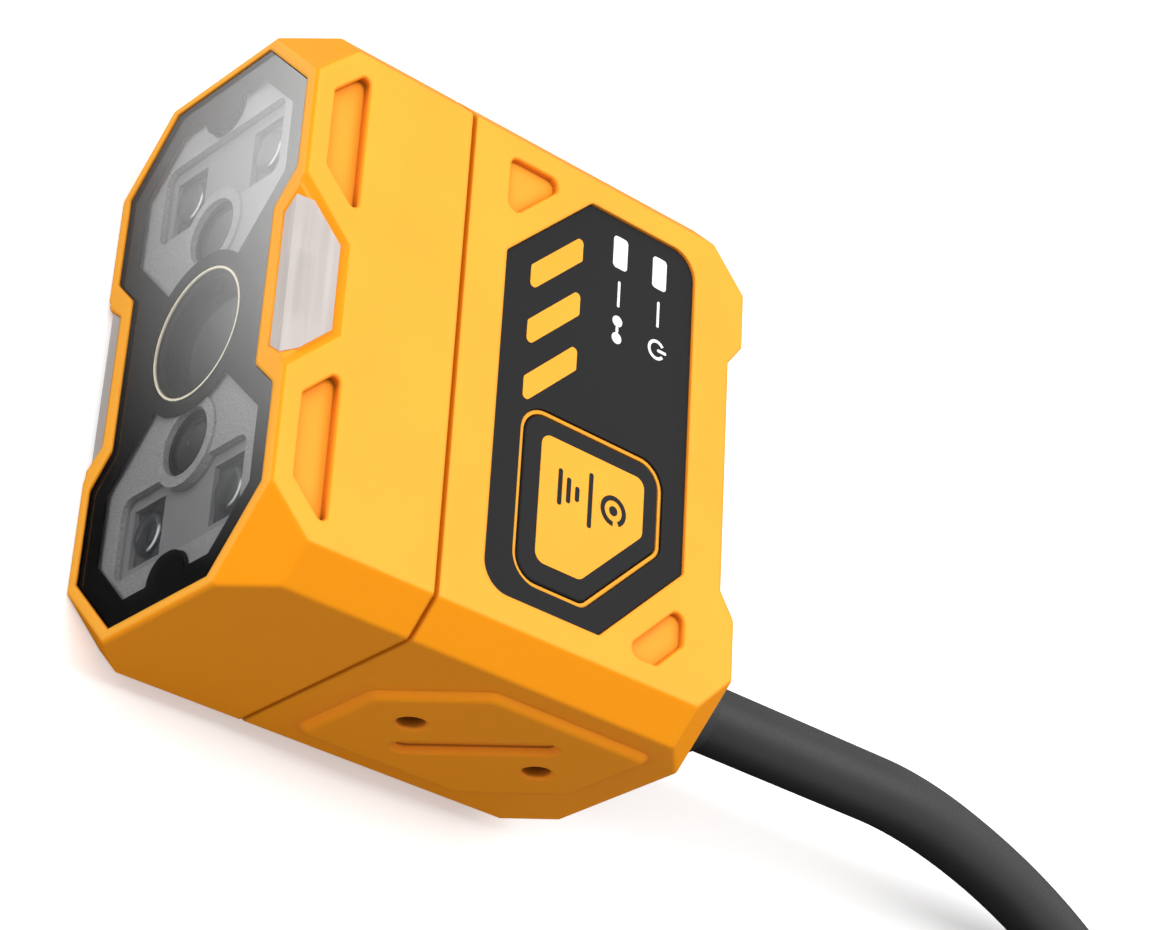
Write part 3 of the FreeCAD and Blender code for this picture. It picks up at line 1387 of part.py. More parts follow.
def plug():
    """The round connector on the lead: gripped body, fluted coupling nut and insert with pins."""
    ending, before = Vector(*ROUTE[-1]), Vector(*ROUTE[-2])
    place = Placement(ending, Rotation(Vector(0, 1, 0), ending - before))
    nut_start = "plug_tail + plug_grip_long - plug_neck_long"
    nut_end = "%s + plug_nut_long" % nut_start
    case = new_body("plug_body")
    turned(case, "grip", [
        ("0", "0"),
        ("plug_sleeve", "0"),
        ("plug_sleeve", "plug_sleeve_long"),
        ("plug_grip", "plug_tail"),
        ("plug_grip", "%s - loose_fit" % nut_start),
        ("plug_neck", "%s - loose_fit" % nut_start),
        ("plug_neck", "plug_tail + plug_grip_long"),
        ("0", "plug_tail + plug_grip_long"),
    ])
    nut = new_body("plug_nut")
    inner = "plug_neck + loose_fit"
    turned(nut, "sleeve", [
        (inner, nut_start),
        ("plug_nut", nut_start),
        ("plug_nut", "%s - plug_flute" % nut_end),
        ("plug_nut - plug_flute", nut_end),
        ("plug_nut_bore", nut_end),
        (inner, "%s + plug_neck_long" % nut_start),
    ])
    flute_start = "%s + plug_flute" % nut_start
    angle = 360.0 / NUT_FLUTES
    flutes = []
    for index in range(NUT_FLUTES):
        flutes.append(("(plug_nut + plug_flute_out) * cos(%g)" % (angle * index),
                       "(plug_nut + plug_flute_out) * sin(%g)" % (angle * index), "plug_flute_radius"))
    prism(nut, "flutes", "Y", flute_start, "plug_nut_long - 3 * plug_flute", flutes, cut=True)
    insert = new_body("plug_insert")
    face = "plug_tail + plug_grip_long"
    prism(insert, "core", "Y", face, "plug_insert_long", [("0", "0", "plug_insert")])
    pins = []
    for index in range(PIN_COUNT):
        pins.append(("plug_pin_circle * cos(%g)" % (360.0 / PIN_COUNT * index),
                     "plug_pin_circle * sin(%g)" % (360.0 / PIN_COUNT * index), "plug_pin"))
    prism(insert, "pins", "Y", "%s + plug_insert_long" % face, "plug_pin_long", pins)
    for item in (case, nut, insert):
        item.Placement = place


def build():
    front_housing()
    rear_housing()
    seal_and_screws()
    window_and_mask()
    light_frame()
    lamps()
    aimers()
    objective()
    sensor_group()
    light_board()
    light_wedges()
    panel()
    button()
    indicators()
    key_board()
    stack()
    jumper()
    cable_entry()
    lead()
    plug()


def check_and_write():
    doc.recompute()
    for item in doc.Objects:
        if "Invalid" in item.State or "Error" in item.State:
            raise RuntimeError("%s failed: %s" % (item.Name, item.State))
    for item in nodes:
        if item.Shape.isNull() or not item.Shape.isValid():
            raise RuntimeError("%s has no valid shape" % item.Label)
    os.makedirs("parts", exist_ok=True)
    for item in nodes:
        item.Shape.exportStep("parts/%s.step" % item.Label)
        print("%-22s %9.2f mm3 %d solids" % (item.Label, item.Shape.Volume, len(item.Shape.Solids)))


build()
check_and_write()
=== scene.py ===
# %% [markdown]
# # A fixed mount code reader
# The reader is a small cast box with a dark window at the front, a black key panel on top and a
# cable at the rear. Its solid parts come from a CAD model, already in place and in metres, so this
# lesson leaves their shapes alone and gives them finishes. It then adds what is printed on them, a
# real cable, and the small studio in which the reader is photographed.

# %% Load the solid parts
import json
import math

import bmesh
import bpy
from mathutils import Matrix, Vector


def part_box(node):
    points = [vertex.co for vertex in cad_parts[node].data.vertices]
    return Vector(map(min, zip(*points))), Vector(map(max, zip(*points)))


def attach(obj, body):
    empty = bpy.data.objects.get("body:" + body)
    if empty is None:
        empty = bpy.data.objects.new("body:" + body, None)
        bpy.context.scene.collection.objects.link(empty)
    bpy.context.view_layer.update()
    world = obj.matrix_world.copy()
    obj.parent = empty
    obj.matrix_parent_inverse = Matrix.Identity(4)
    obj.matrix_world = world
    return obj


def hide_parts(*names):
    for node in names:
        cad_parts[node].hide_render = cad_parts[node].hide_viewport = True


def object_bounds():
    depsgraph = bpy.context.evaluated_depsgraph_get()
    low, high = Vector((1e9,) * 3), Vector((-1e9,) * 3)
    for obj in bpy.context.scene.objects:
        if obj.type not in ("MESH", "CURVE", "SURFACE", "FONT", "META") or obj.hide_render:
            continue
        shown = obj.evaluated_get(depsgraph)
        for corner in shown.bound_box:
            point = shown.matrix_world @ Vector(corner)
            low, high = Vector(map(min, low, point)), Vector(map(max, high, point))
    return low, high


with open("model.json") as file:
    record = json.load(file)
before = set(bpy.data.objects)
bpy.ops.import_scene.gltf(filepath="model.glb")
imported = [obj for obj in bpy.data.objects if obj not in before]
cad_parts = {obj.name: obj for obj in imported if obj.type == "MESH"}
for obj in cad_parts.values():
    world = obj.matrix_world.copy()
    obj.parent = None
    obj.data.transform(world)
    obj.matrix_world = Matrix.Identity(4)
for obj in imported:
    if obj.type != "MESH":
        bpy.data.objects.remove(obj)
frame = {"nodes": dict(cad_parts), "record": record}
parts = frame["nodes"]
cad_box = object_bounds()
MM = 0.001

# %% [markdown]
# ## The camera
# The photographer held the camera high and to one side, and rolled it so that the reader's long side
# runs down the picture. A long lens keeps the edges nearly parallel. The place and the angles line up
# the corners of the box with the picture, and the small shift does the framing.

# %% Set up the camera
CAMERA_PLACE = (132.94 * MM, -140.77 * MM, 204.61 * MM)
CAMERA_ANGLES = (26.591, -42.097, 93.384)
CAMERA_LENS = 97.776
CAMERA_SHIFT = (-0.0420, 0.0114)
SENSOR_WIDE = 36
NEAREST_SEEN = 10 * MM

lens = bpy.data.cameras.new("studio_camera")
lens.sensor_fit = "HORIZONTAL"
lens.sensor_width = SENSOR_WIDE
lens.lens = CAMERA_LENS
lens.shift_x, lens.shift_y = CAMERA_SHIFT
lens.clip_start = NEAREST_SEEN
camera = bpy.data.objects.new("studio_camera", lens)
camera.location = CAMERA_PLACE
camera.rotation_euler = [math.radians(angle) for angle in CAMERA_ANGLES]
bpy.context.collection.objects.link(camera)
bpy.context.scene.camera = camera
bpy.context.scene.view_settings.view_transform = "Standard"
print("camera %.0f mm from the reader's middle" % (camera.location.length / MM))

# %% [markdown]
# ## Working with nodes
# The paper, the room and every finish are small trees of nodes: places go in, are turned into numbers
# and colours, and end in a shader. Wiring each node by hand takes four or five lines. So a few helpers
# make one node each, feed it, and hand back what comes out of it. What goes in may be the output of
# another node or a fixed value.

# %% Helpers for places and numbers
def feed(tree, socket, value):
    """Link a socket to another node's output, or set it to a fixed value."""
    if isinstance(value, bpy.types.NodeSocket):
        tree.links.new(value, socket)
    else:
        socket.default_value = value


def object_place(tree):
    """Where a point lies in the reader's own coordinates."""
    return tree.nodes.new("ShaderNodeTexCoord").outputs["Object"]


def axes(tree, vector):
    """The X, Y and Z of a vector."""
    split = tree.nodes.new("ShaderNodeSeparateXYZ")
    feed(tree, split.inputs[0], vector)
    return split.outputs


def reckon(tree, operation, first, second=0.0):
    """One step of arithmetic with numbers."""
    step = tree.nodes.new("ShaderNodeMath")
    step.operation = operation
    feed(tree, step.inputs[0], first)
    feed(tree, step.inputs[1], second)
    return step.outputs[0]


def reckon_vector(tree, operation, first, second=(0, 0, 0)):
    """One step of arithmetic with vectors."""
    step = tree.nodes.new("ShaderNodeVectorMath")
    step.operation = operation
    feed(tree, step.inputs[0], first)
    feed(tree, step.inputs[1], second)
    return step.outputs


def ramp(tree, value, limits, ends):
    """A number that goes evenly from one end to the other while a value passes two limits."""
    slope = tree.nodes.new("ShaderNodeMapRange")
    slope.inputs["From Min"].default_value, slope.inputs["From Max"].default_value = limits
    slope.inputs["To Min"].default_value, slope.inputs["To Max"].default_value = ends
    feed(tree, slope.inputs["Value"], value)
    return slope.outputs["Result"]


def step_between(tree, value, first, second):
    """A soft step: 0 up to the first limit, 1 from the second one on."""
    step = tree.nodes.new("ShaderNodeMapRange")
    step.interpolation_type = "SMOOTHSTEP"
    step.inputs["From Min"].default_value = first
    step.inputs["From Max"].default_value = second
    feed(tree, step.inputs["Value"], value)
    return step.outputs["Result"]


# %% [markdown]
# ## Colours and shaders
# Colours and whole shaders are mixed by a share between 0 and 1. A mix node has one set of sockets for
# numbers, one for vectors and one for colours, all with the same names, so those for colours are picked
# by their place in the row. The share is often the kind of ray that meets a surface: straight from the
# camera, out of a mirror, through glass or on its way to a lamp.

# %% Helpers for colours and shaders
WHITE = (1, 1, 1, 1)
MIX_SHARE, MIX_FIRST, MIX_SECOND = 0, 6, 7
MIX_RESULT = 2


def colour_mix(tree, share, first, second):
    """A colour between two others."""
    mix = tree.nodes.new("ShaderNodeMix")
    mix.data_type = "RGBA"
    feed(tree, mix.inputs[MIX_SHARE], share)
    feed(tree, mix.inputs[MIX_FIRST], first)
    feed(tree, mix.inputs[MIX_SECOND], second)
    return mix.outputs[MIX_RESULT]


def shader_mix(tree, share, first, second):
    """A shader between two others."""
    mix = tree.nodes.new("ShaderNodeMixShader")
    for socket, value in zip(mix.inputs, (share, first, second)):
        feed(tree, socket, value)
    return mix.outputs[0]


def is_ray(tree, *kinds):
    """A value of 1 for the kinds of rays that are named, and 0 for all others."""
    path = tree.nodes.new("ShaderNodeLightPath")
    value = path.outputs[kinds[0]]
    for kind in kinds[1:]:
        value = reckon(tree, "MAXIMUM", value, path.outputs[kind])
    return value


def new_finish(name):
    """A material, with its tree of nodes and its main shader."""
    made = bpy.data.materials.new(name)
    made.use_nodes = True
    return made, made.node_tree, made.node_tree.nodes["Principled BSDF"]


# %% [markdown]
# ## The paper floor
# A product picture is taken on white paper. The paper must look white, yet it should not throw so much
# light back that the shaded end of the box turns pale. So it is white for the rays that are seen,
# straight or through glass, and grey for the rays that only carry light. Where it is seen straight it
# glows a little, and more so far away, where the lamps hardly reach, so that the horizon stays white.
# In mirror images the paper carries a painted reflection for the window: it fades from white to deep
# black, along the window and close to the reader, and where it stays white it glows a little.

# %% Lay the floor
PAPER_WHITE = (0.93, 0.93, 0.93, 1)
PAPER_BOUNCE = (0.50, 0.50, 0.50, 1)
PAPER_ROUGH = 0.9
PAPER_GLOW = 0.35
FAR_GLOW = 0.30
FAR_LIMITS = (0.3, 1.2)
# Painted reflection: the dark of the paper in mirror images, where it fades along X and to the front, and
# its glow
PAINTED_REFLECTION_DARK = (0.004, 0.004, 0.004, 1)
REFLECTION_DARK_EDGE = 13 * MM
REFLECTION_WHITE_EDGE = -30 * MM
REFLECTION_NEAR_SHARE = 0.2
REFLECTION_DEEP = 22 * MM
PAINTED_REFLECTION_GLOW = 0.72
FLOOR_SIDE = 6.0


def make_floor():
    paper, tree, shader = new_finish("white_paper")
    shader.inputs["Roughness"].default_value = PAPER_ROUGH
    shader.inputs["Specular IOR Level"].default_value = 0.0
    shader.inputs["Emission Color"].default_value = WHITE
    place = object_place(tree)
    along = axes(tree, place)
    front = cad_box[0].y
    # Painted reflection: in mirror rays the paper darkens towards +X and near the reader's front, and glows
    # where white
    sideways = step_between(tree, along["X"], REFLECTION_DARK_EDGE, REFLECTION_WHITE_EDGE)
    forwards = ramp(tree, along["Y"], (front, front - REFLECTION_DEEP), (REFLECTION_NEAR_SHARE, 1))
    reflection_fade = reckon(tree, "MULTIPLY", sideways, forwards)
    painted_reflection = colour_mix(tree, reflection_fade, PAINTED_REFLECTION_DARK, WHITE)
    direct = is_ray(tree, "Is Camera Ray", "Is Transmission Ray")
    plain = colour_mix(tree, direct, PAPER_BOUNCE, PAPER_WHITE)
    glossy = is_ray(tree, "Is Glossy Ray")
    feed(tree, shader.inputs["Base Color"], colour_mix(tree, glossy, plain, painted_reflection))
    away = reckon_vector(tree, "LENGTH", place)["Value"]
    far = ramp(tree, away, FAR_LIMITS, (PAPER_GLOW, PAPER_GLOW + FAR_GLOW))
    shown = reckon(tree, "MULTIPLY", is_ray(tree, "Is Camera Ray"), far)
    reflection_glow = reckon(tree, "MULTIPLY", reckon(tree, "MULTIPLY", glossy, reflection_fade), PAINTED_REFLECTION_GLOW)
    feed(tree, shader.inputs["Emission Strength"], reckon(tree, "ADD", shown, reflection_glow))
    mesh = bpy.data.meshes.new("floor")
    half = FLOOR_SIDE / 2
    corners = [(-half, -half, 0), (half, -half, 0), (half, half, 0), (-half, half, 0)]
    mesh.from_pydata(corners, [], [(0, 1, 2, 3)])
    mesh.materials.append(paper)
    floor = bpy.data.objects.new("floor", mesh)
    bpy.context.collection.objects.link(floor)


make_floor()
print("floor %.0f m wide" % FLOOR_SIDE)

# %% [markdown]
# ## The room
# Round the paper is an even white room, which fills the shadows from all sides. Walls would do it too,
# but a plain world needs no geometry and is even by itself. It is handled as the paper is: bright where
# it is seen, and dimmer where it only gives light.

# %% Make the room
ROOM_LEVEL = 0.45


def make_room():
    room = bpy.data.worlds.new("white_room")
    room.use_nodes = True
    bpy.context.scene.world = room
    tree = room.node_tree
    light = tree.nodes["Background"]
    light.inputs["Color"].default_value = WHITE
    light.inputs["Strength"].default_value = ROOM_LEVEL
    seen = tree.nodes.new("ShaderNodeBackground")
    seen.inputs["Color"].default_value = WHITE
    seen.inputs["Strength"].default_value = 1.0
    shown = is_ray(tree, "Is Camera Ray", "Is Glossy Ray", "Is Transmission Ray")
    both = shader_mix(tree, shown, light.outputs[0], seen.outputs[0])
    feed(tree, tree.nodes["World Output"].inputs["Surface"], both)


make_room()
print("room level %.2f" % ROOM_LEVEL)

# %% [markdown]
# ## The lamps
# A long soft lamp overhead runs from front to rear, so that both are lit and the end stays in shade. A
# low strip in front lifts the rim round the window. Flat lamps of some size give soft shadows, as the
# softboxes of a studio do, where a small lamp would draw hard edges on the paper.

# %% Hang the lamps
SOFTBOX_SIDES = (0.6, 2.4)
SOFTBOX_PLACE = (-0.14, -0.26, 0.70)
SOFTBOX_WATTS = 11.6
STRIP_SIDES = (1.0, 0.2)
STRIP_PLACE = (-0.10, -1.25, 0.16)
STRIP_TILT = 83
STRIP_WATTS = 4.0


def make_lamp(name, place, tilt, sides, watts):
    """A flat lamp; with no tilt it shines straight down, and a tilt turns it to the reader's front."""
    light = bpy.data.lights.new(name, "AREA")
    light.shape = "RECTANGLE"
    light.size, light.size_y = sides
    light.energy = watts
    lamp = bpy.data.objects.new(name, light)
    lamp.location = place
    lamp.rotation_euler = (math.radians(tilt), 0, 0)
    bpy.context.collection.objects.link(lamp)
    print("%s: %.1f W, %.2f m above the floor" % (name, watts, place[2]))


make_lamp("softbox", SOFTBOX_PLACE, 0, SOFTBOX_SIDES, SOFTBOX_WATTS)
make_lamp("front_strip", STRIP_PLACE, STRIP_TILT, STRIP_SIDES, STRIP_WATTS)

# %% [markdown]
# ## Finishes with a grain
# No real surface is one flat colour. Paint has a faint orange peel, moulded plastic a fine spark
# texture, rubber a dull cloudiness. All of these are the same recipe with other numbers: a fine noise
# lifts the surface a little and changes the gloss, and a slow noise shifts the tone. One function
# holds the recipe, so that a finish is only a row of numbers.

# %% The recipe for a grained finish
CLOUD_SIZE = 9.0
GLOSS_SHARE = 0.12
NOISE_DETAIL = 3
NOISE_LIMITS = (0.3, 0.7)


def noise(tree, vector, size):
    """Noise whose lumps are about a size in millimetres."""
    texture = tree.nodes.new("ShaderNodeTexNoise")
    texture.inputs["Scale"].default_value = 1 / (size * MM)
    texture.inputs["Detail"].default_value = NOISE_DETAIL
    feed(tree, texture.inputs["Vector"], vector)
    return texture.outputs["Fac"]


def around(tree, value, middle, share):
    """A noise value turned into a number that strays from a middle by a share of it."""
    return ramp(tree, value, NOISE_LIMITS, (middle * (1 - share), middle * (1 + share)))


def grained(name, colour, roughness, grain, lift, tone=0.05, metal=0.0, shine=0.5, cloud=CLOUD_SIZE):
    """A finish with a grain of a size and a lift in millimetres, and a change of tone in clouds."""
    made, tree, shader = new_finish(name)
    shader.inputs["Metallic"].default_value = metal
    shader.inputs["Specular IOR Level"].default_value = shine
    place = object_place(tree)
    fine = noise(tree, place, grain)
    share = ramp(tree, noise(tree, place, cloud), NOISE_LIMITS, (0, 1))
    dark = [part * (1 - tone) for part in colour] + [1]
    pale = [min(part * (1 + tone), 1) for part in colour] + [1]
    feed(tree, shader.inputs["Base Color"], colour_mix(tree, share, dark, pale))
    feed(tree, shader.inputs["Roughness"], around(tree, fine, roughness, GLOSS_SHARE))
    bump = tree.nodes.new("ShaderNodeBump")
    bump.inputs["Strength"].default_value = 1.0
    bump.inputs["Distance"].default_value = lift * MM
    feed(tree, bump.inputs["Height"], fine)
    feed(tree, shader.inputs["Normal"], bump.outputs["Normal"])
    return made


# %% [markdown]
# ## Clear finishes
# The window, the light lenses and the light wedges let light through. A material that refracts is right
# for rays that are seen, but the light of the lamps hardly finds its way through it, and the inside goes
# black. So the same material is simply transparent for shadow rays, and the lamps reach the inside.

# %% The recipe for a clear finish
SMUDGE = 0.25


def clear(name, colour, roughness, refraction, shadow, share=1.0):
    """Glass or clear plastic: a share of it is clear, and it lets some of the lamps' light through."""
    made, tree, shader = new_finish(name)
    shader.inputs["Base Color"].default_value = (*colour, 1)
    smudges = noise(tree, object_place(tree), CLOUD_SIZE)
    feed(tree, shader.inputs["Roughness"], around(tree, smudges, roughness, SMUDGE))
    shader.inputs["IOR"].default_value = refraction
    shader.inputs["Transmission Weight"].default_value = share
    through = tree.nodes.new("ShaderNodeBsdfTransparent")
    through.inputs["Color"].default_value = (shadow, shadow, shadow, 1)
    shaded = is_ray(tree, "Is Shadow Ray")
    both = shader_mix(tree, shaded, shader.outputs[0], through.outputs[0])
    feed(tree, tree.nodes["Material Output"].inputs["Surface"], both)
    return made


# %% [markdown]
# ## One finish for each material
# Each part in the CAD record names the material that it is made of. Giving every material one finish
# keeps like parts alike: both halves of the box share the orange coat, and all screws are one steel.
# The colours are those of the bare material in plain light; gloss and shade come from the scene.

# %% Choose the finishes
ORANGE = (0.95, 0.41, 0.04)
SOFT_BLACK = (0.013, 0.013, 0.014)
RUBBER_BLACK = (0.018, 0.018, 0.019)
FRAME_GREY = (0.29, 0.29, 0.295)
GRAINED = {
    "orange_coat": dict(colour=ORANGE, roughness=0.42, grain=0.16, lift=0.002, tone=0.03, shine=0.1),
    "seal_rubber": dict(colour=(0.02, 0.02, 0.02), roughness=0.7, grain=0.2, lift=0.01),
    "screw_steel": dict(colour=(0.55, 0.55, 0.54), roughness=0.32, grain=0.1, lift=0.002, metal=1.0),
    "mask_print": dict(colour=(0.003, 0.003, 0.003), roughness=0.6, grain=0.1, lift=0.0, shine=0.1),
    "frame_grey": dict(colour=FRAME_GREY, roughness=0.6, grain=0.18, lift=0.012, tone=0.3, cloud=0.18),
    "emitter_pale": dict(colour=(0.42, 0.43, 0.45), roughness=0.4, grain=0.1, lift=0.002),
    "barrel_black": dict(colour=(0.010, 0.010, 0.011), roughness=0.5, grain=0.12, lift=0.003, shine=0.12),
    "trim_gold": dict(colour=(0.98, 0.88, 0.66), roughness=0.35, grain=0.1, lift=0.001),
    "optic_glass": dict(colour=(0.018, 0.019, 0.022), roughness=0.06, grain=0.1, lift=0.0),
    "holder_black": dict(colour=(0.018, 0.018, 0.018), roughness=0.5, grain=0.15, lift=0.004),
    "board_green": dict(colour=(0.012, 0.075, 0.03), roughness=0.4, grain=0.2, lift=0.003),
    "chip_black": dict(colour=(0.014, 0.014, 0.015), roughness=0.5, grain=0.12, lift=0.004),
    "panel_black": dict(colour=SOFT_BLACK, roughness=0.55, grain=0.10, lift=0.004, shine=0.1),
    "button_black": dict(colour=SOFT_BLACK, roughness=0.6, grain=0.12, lift=0.004, shine=0.12),
    "lamp_white": dict(colour=(0.90, 0.90, 0.90), roughness=0.4, grain=0.2, lift=0.001, tone=0.01),
    "spacer_brass": dict(colour=(0.70, 0.50, 0.22), roughness=0.3, grain=0.1, lift=0.002, metal=1.0),
    "heat_grey": dict(colour=(0.30, 0.32, 0.36), roughness=0.8, grain=0.3, lift=0.02),
    "flex_amber": dict(colour=(0.45, 0.20, 0.04), roughness=0.35, grain=0.2, lift=0.002),
    "socket_white": dict(colour=(0.75, 0.74, 0.70), roughness=0.45, grain=0.15, lift=0.003),
    "cable_black": dict(colour=RUBBER_BLACK, roughness=0.5, grain=0.30, lift=0.010, tone=0.12, shine=0.35),
    "plug_black": dict(colour=RUBBER_BLACK, roughness=0.5, grain=0.2, lift=0.008),
    "nut_nickel": dict(colour=(0.62, 0.60, 0.56), roughness=0.25, grain=0.1, lift=0.002, metal=1.0),
}
CLEAR = {
    "window_glass": dict(colour=(0.95, 0.95, 0.95), roughness=0.02, refraction=1.85, shadow=0.85),
    "lamp_clear": dict(colour=(0.30, 0.31, 0.33), roughness=0.03, refraction=1.49, shadow=0.9, share=0.82),
    "wedge_frost": dict(colour=(0.64, 0.585, 0.56), roughness=0.5, refraction=1.49, shadow=0.7, share=0.35),
}

finishes = {name: grained(name, **numbers) for name, numbers in GRAINED.items()}
finishes.update({name: clear(name, **numbers) for name, numbers in CLEAR.items()})
print("finishes made:", len(finishes))

# %% [markdown]
# ## Edges that catch the light
# The edges of a cast and painted box are never sharp. Rounding them all in the mesh would change the
# solid parts. A bevel node rounds only the shading: near an edge it turns the direction of the surface
# bit by bit, and the edge catches the light as a rounded one does. The light lenses get it as well.

# %% Soften the edges
EDGE_ROUND = 0.5
LENS_ROUND = 0.3
EDGE_SAMPLES = 6


def soften_edges(finish, radius):
    """The finish takes the light as if every sharp edge were rounded to a radius in millimetres."""
    tree = finish.node_tree
    edge = tree.nodes.new("ShaderNodeBevel")
    edge.samples = EDGE_SAMPLES
    edge.inputs["Radius"].default_value = radius * MM
    taker = tree.nodes["Bump"] if "Bump" in tree.nodes else tree.nodes["Principled BSDF"]
    feed(tree, taker.inputs["Normal"], edge.outputs["Normal"])


soften_edges(finishes["orange_coat"], EDGE_ROUND)
soften_edges(finishes["lamp_clear"], LENS_ROUND)
print("edges rounded to %.1f mm, lenses to %.1f mm" % (EDGE_ROUND, LENS_ROUND))

# %% [markdown]
# ## Painted shade on slopes and in recesses
# On a slope the orange looks richer than on a face that a lamp shines straight at, and in a recess its
# colour deepens, because light goes from wall to wall there. Both come from light, and both are painted
# here as shade in a deeper colour. The direction of a face finds the slopes: a face that looks neither
# straight up nor straight to the front takes the painted shade. An ambient occlusion node finds the rest:
# it tells how much of the space near a point is free, over a reach that is wide for the pockets and the
# holes and short for the seam and the seat of the window. Where little is free, the shade is painted:
# deep orange in the pockets, brown in the seam and where the box meets the floor, dark brown in the
# screw holes and black at the seat of the window.

# %% Paint the shade on the coat
# Painted shade on the slopes, and the facing limits past which a face counts as lit
SLOPE_SHADE_ORANGE = (0.95, 0.32, 0.006)
SLOPE_SHADE_LIMITS = (0.80, 0.98)
RECESS_SHADE_SAMPLES = 8
# Painted shade in recesses: colour, reach in millimetres, limits of free space, and own part only
RECESS_SHADE_TINTS = {
    "pockets": dict(colour=(0.95, 0.29, 0.02), reach=3.0, limits=(0.78, 0.99), own=True),
    "seam": dict(colour=(0.74, 0.25, 0.003), reach=1.2, limits=(0.25, 0.66), own=False),
    "screw_holes": dict(colour=(0.16, 0.05, 0.004), reach=6.0, limits=(0.15, 0.50), own=True),
    "window_seat": dict(colour=SOFT_BLACK, reach=1.2, limits=(0.02, 0.14), own=False),
}


def tint(finish, share, colour):
    """Where the share is 0 the finish takes another colour; where it is 1 it stays as it is."""
    base = finish.node_tree.nodes["Principled BSDF"].inputs["Base Color"]
    even = base.links[0].from_socket
    feed(finish.node_tree, base, colour_mix(finish.node_tree, share, (*colour, 1), even))


def paint_slope_shade(finish, colour):
    """Painted shade: a deeper colour on faces that look neither straight up nor straight to the front."""
    tree = finish.node_tree
    facing = axes(tree, tree.nodes.new("ShaderNodeNewGeometry").outputs["Normal"])
    start, end = SLOPE_SHADE_LIMITS
    upward = step_between(tree, facing["Z"], start, end)
    forward = step_between(tree, facing["Y"], -start, -end)
    tint(finish, reckon(tree, "MAXIMUM", upward, forward), colour)


def paint_recess_shade(finish, colour, reach, limits, own):
    """Painted shade: another colour where walls are within a reach in millimetres, of the same part or all.
    """
    tree = finish.node_tree
    room = tree.nodes.new("ShaderNodeAmbientOcclusion")
    room.samples = RECESS_SHADE_SAMPLES
    room.only_local = own
    room.inputs["Distance"].default_value = reach * MM
    tint(finish, step_between(tree, room.outputs["AO"], *limits), colour)


# Paint the shade on the slopes and in the recesses of the orange coat
paint_slope_shade(finishes["orange_coat"], SLOPE_SHADE_ORANGE)
for numbers in RECESS_SHADE_TINTS.values():
    paint_recess_shade(finishes["orange_coat"], **numbers)
print("orange coat tinted on slopes and in:", ", ".join(RECESS_SHADE_TINTS))

# %% [markdown]
# ## The light frame and the trim ring
# Behind the window stands a grey frame with sunk troughs for the light lenses, and the troughs are a
# tone darker, which is painted shade. Round the lens runs a thin gold ring, of which only the front face
# shines; its bore is black. In both the colour changes at a certain depth, so the place along the Y axis
# picks it.

# %% Tint by depth
TROUGH_SHADE_GREY = (0.225, 0.225, 0.23)
TROUGH_START = 0.8 * MM
TRIM_DEEP = 0.2 * MM
DEPTH_BLEND = 0.1 * MM


def tint_depth(finish, colour, start):
    """Another colour behind a place on the Y axis."""
    tree = finish.node_tree
    depth = axes(tree, object_place(tree))["Y"]
    tint(finish, step_between(tree, depth, start, start - DEPTH_BLEND), colour)


frame_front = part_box("light_frame")[0].y
trim_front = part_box("lens_trim_ring")[0].y
# Painted shade: the troughs of the frame a tone darker
tint_depth(finishes["frame_grey"], TROUGH_SHADE_GREY, frame_front + TROUGH_START)
tint_depth(finishes["trim_gold"], SOFT_BLACK, trim_front + TRIM_DEEP)
print("frame front at %.2f mm, trim front at %.2f mm" % (frame_front / MM, trim_front / MM))

# %% [markdown]
# ## The light wedges
# The wedge in the front edge is frosted plastic that spreads the light of the status lamp. Flow in the
# mould leaves soft bands along it. Noise that is stretched along X makes such bands at once, with no
# two alike, where a list of stripes would look ruled.

# %% Draw the bands in the wedges
BAND_DARK = (0.55, 0.495, 0.47, 1)
BAND_PALE = (0.68, 0.63, 0.61, 1)
BAND_WIDE = 0.8
BAND_STRETCH = 0.04


def draw_bands(finish):
    tree = finish.node_tree
    squeeze = tree.nodes.new("ShaderNodeMapping")
    squeeze.inputs["Scale"].default_value = (BAND_STRETCH, 1, 1)
    feed(tree, squeeze.inputs["Vector"], object_place(tree))
    share = ramp(tree, noise(tree, squeeze.outputs["Vector"], BAND_WIDE), NOISE_LIMITS, (0, 1))
    banded = colour_mix(tree, share, BAND_DARK, BAND_PALE)
    feed(tree, tree.nodes["Principled BSDF"].inputs["Base Color"], banded)


draw_bands(finishes["wedge_frost"])
print("bands %.1f mm wide" % BAND_WIDE)

# %% [markdown]
# ## The edge of the window
# The window is a flat sheet of glass, and its cut edges are painted black, so that no orange shines into
# it from the seat around. The two large faces look along Y and stay clear. Every other face gets paint,
# which the direction of the face tells apart.

# %% Blacken the window's edge
EDGE_PAINT = (0.004, 0.004, 0.004, 1)
FLAT_LIMIT = 0.5


def blacken_edges(finish):
    tree = finish.node_tree
    output = tree.nodes["Material Output"].inputs["Surface"]
    bare = output.links[0].from_socket
    paint = tree.nodes.new("ShaderNodeBsdfDiffuse")
    paint.inputs["Color"].default_value = EDGE_PAINT
    facing = axes(tree, tree.nodes.new("ShaderNodeNewGeometry").outputs["True Normal"])
    flat = reckon(tree, "GREATER_THAN", reckon(tree, "ABSOLUTE", facing["Y"]), FLAT_LIMIT)
    feed(tree, output, shader_mix(tree, flat, paint.outputs[0], bare))


blacken_edges(finishes["window_glass"])
print("window edge painted")

# %% [markdown]
# ## Finish the parts
# The record that comes with the CAD model lists every part with its material. A loop over that list
# gives each part its finish, so no part is forgotten and a new part needs no new line here.

# %% Give each part its finish
def give(part, finish):
    part.data.materials.clear()
    part.data.materials.append(finish)


for entry in frame["record"]["subparts"]:
    give(parts[entry["node"]], finishes[entry["material_slot"]])

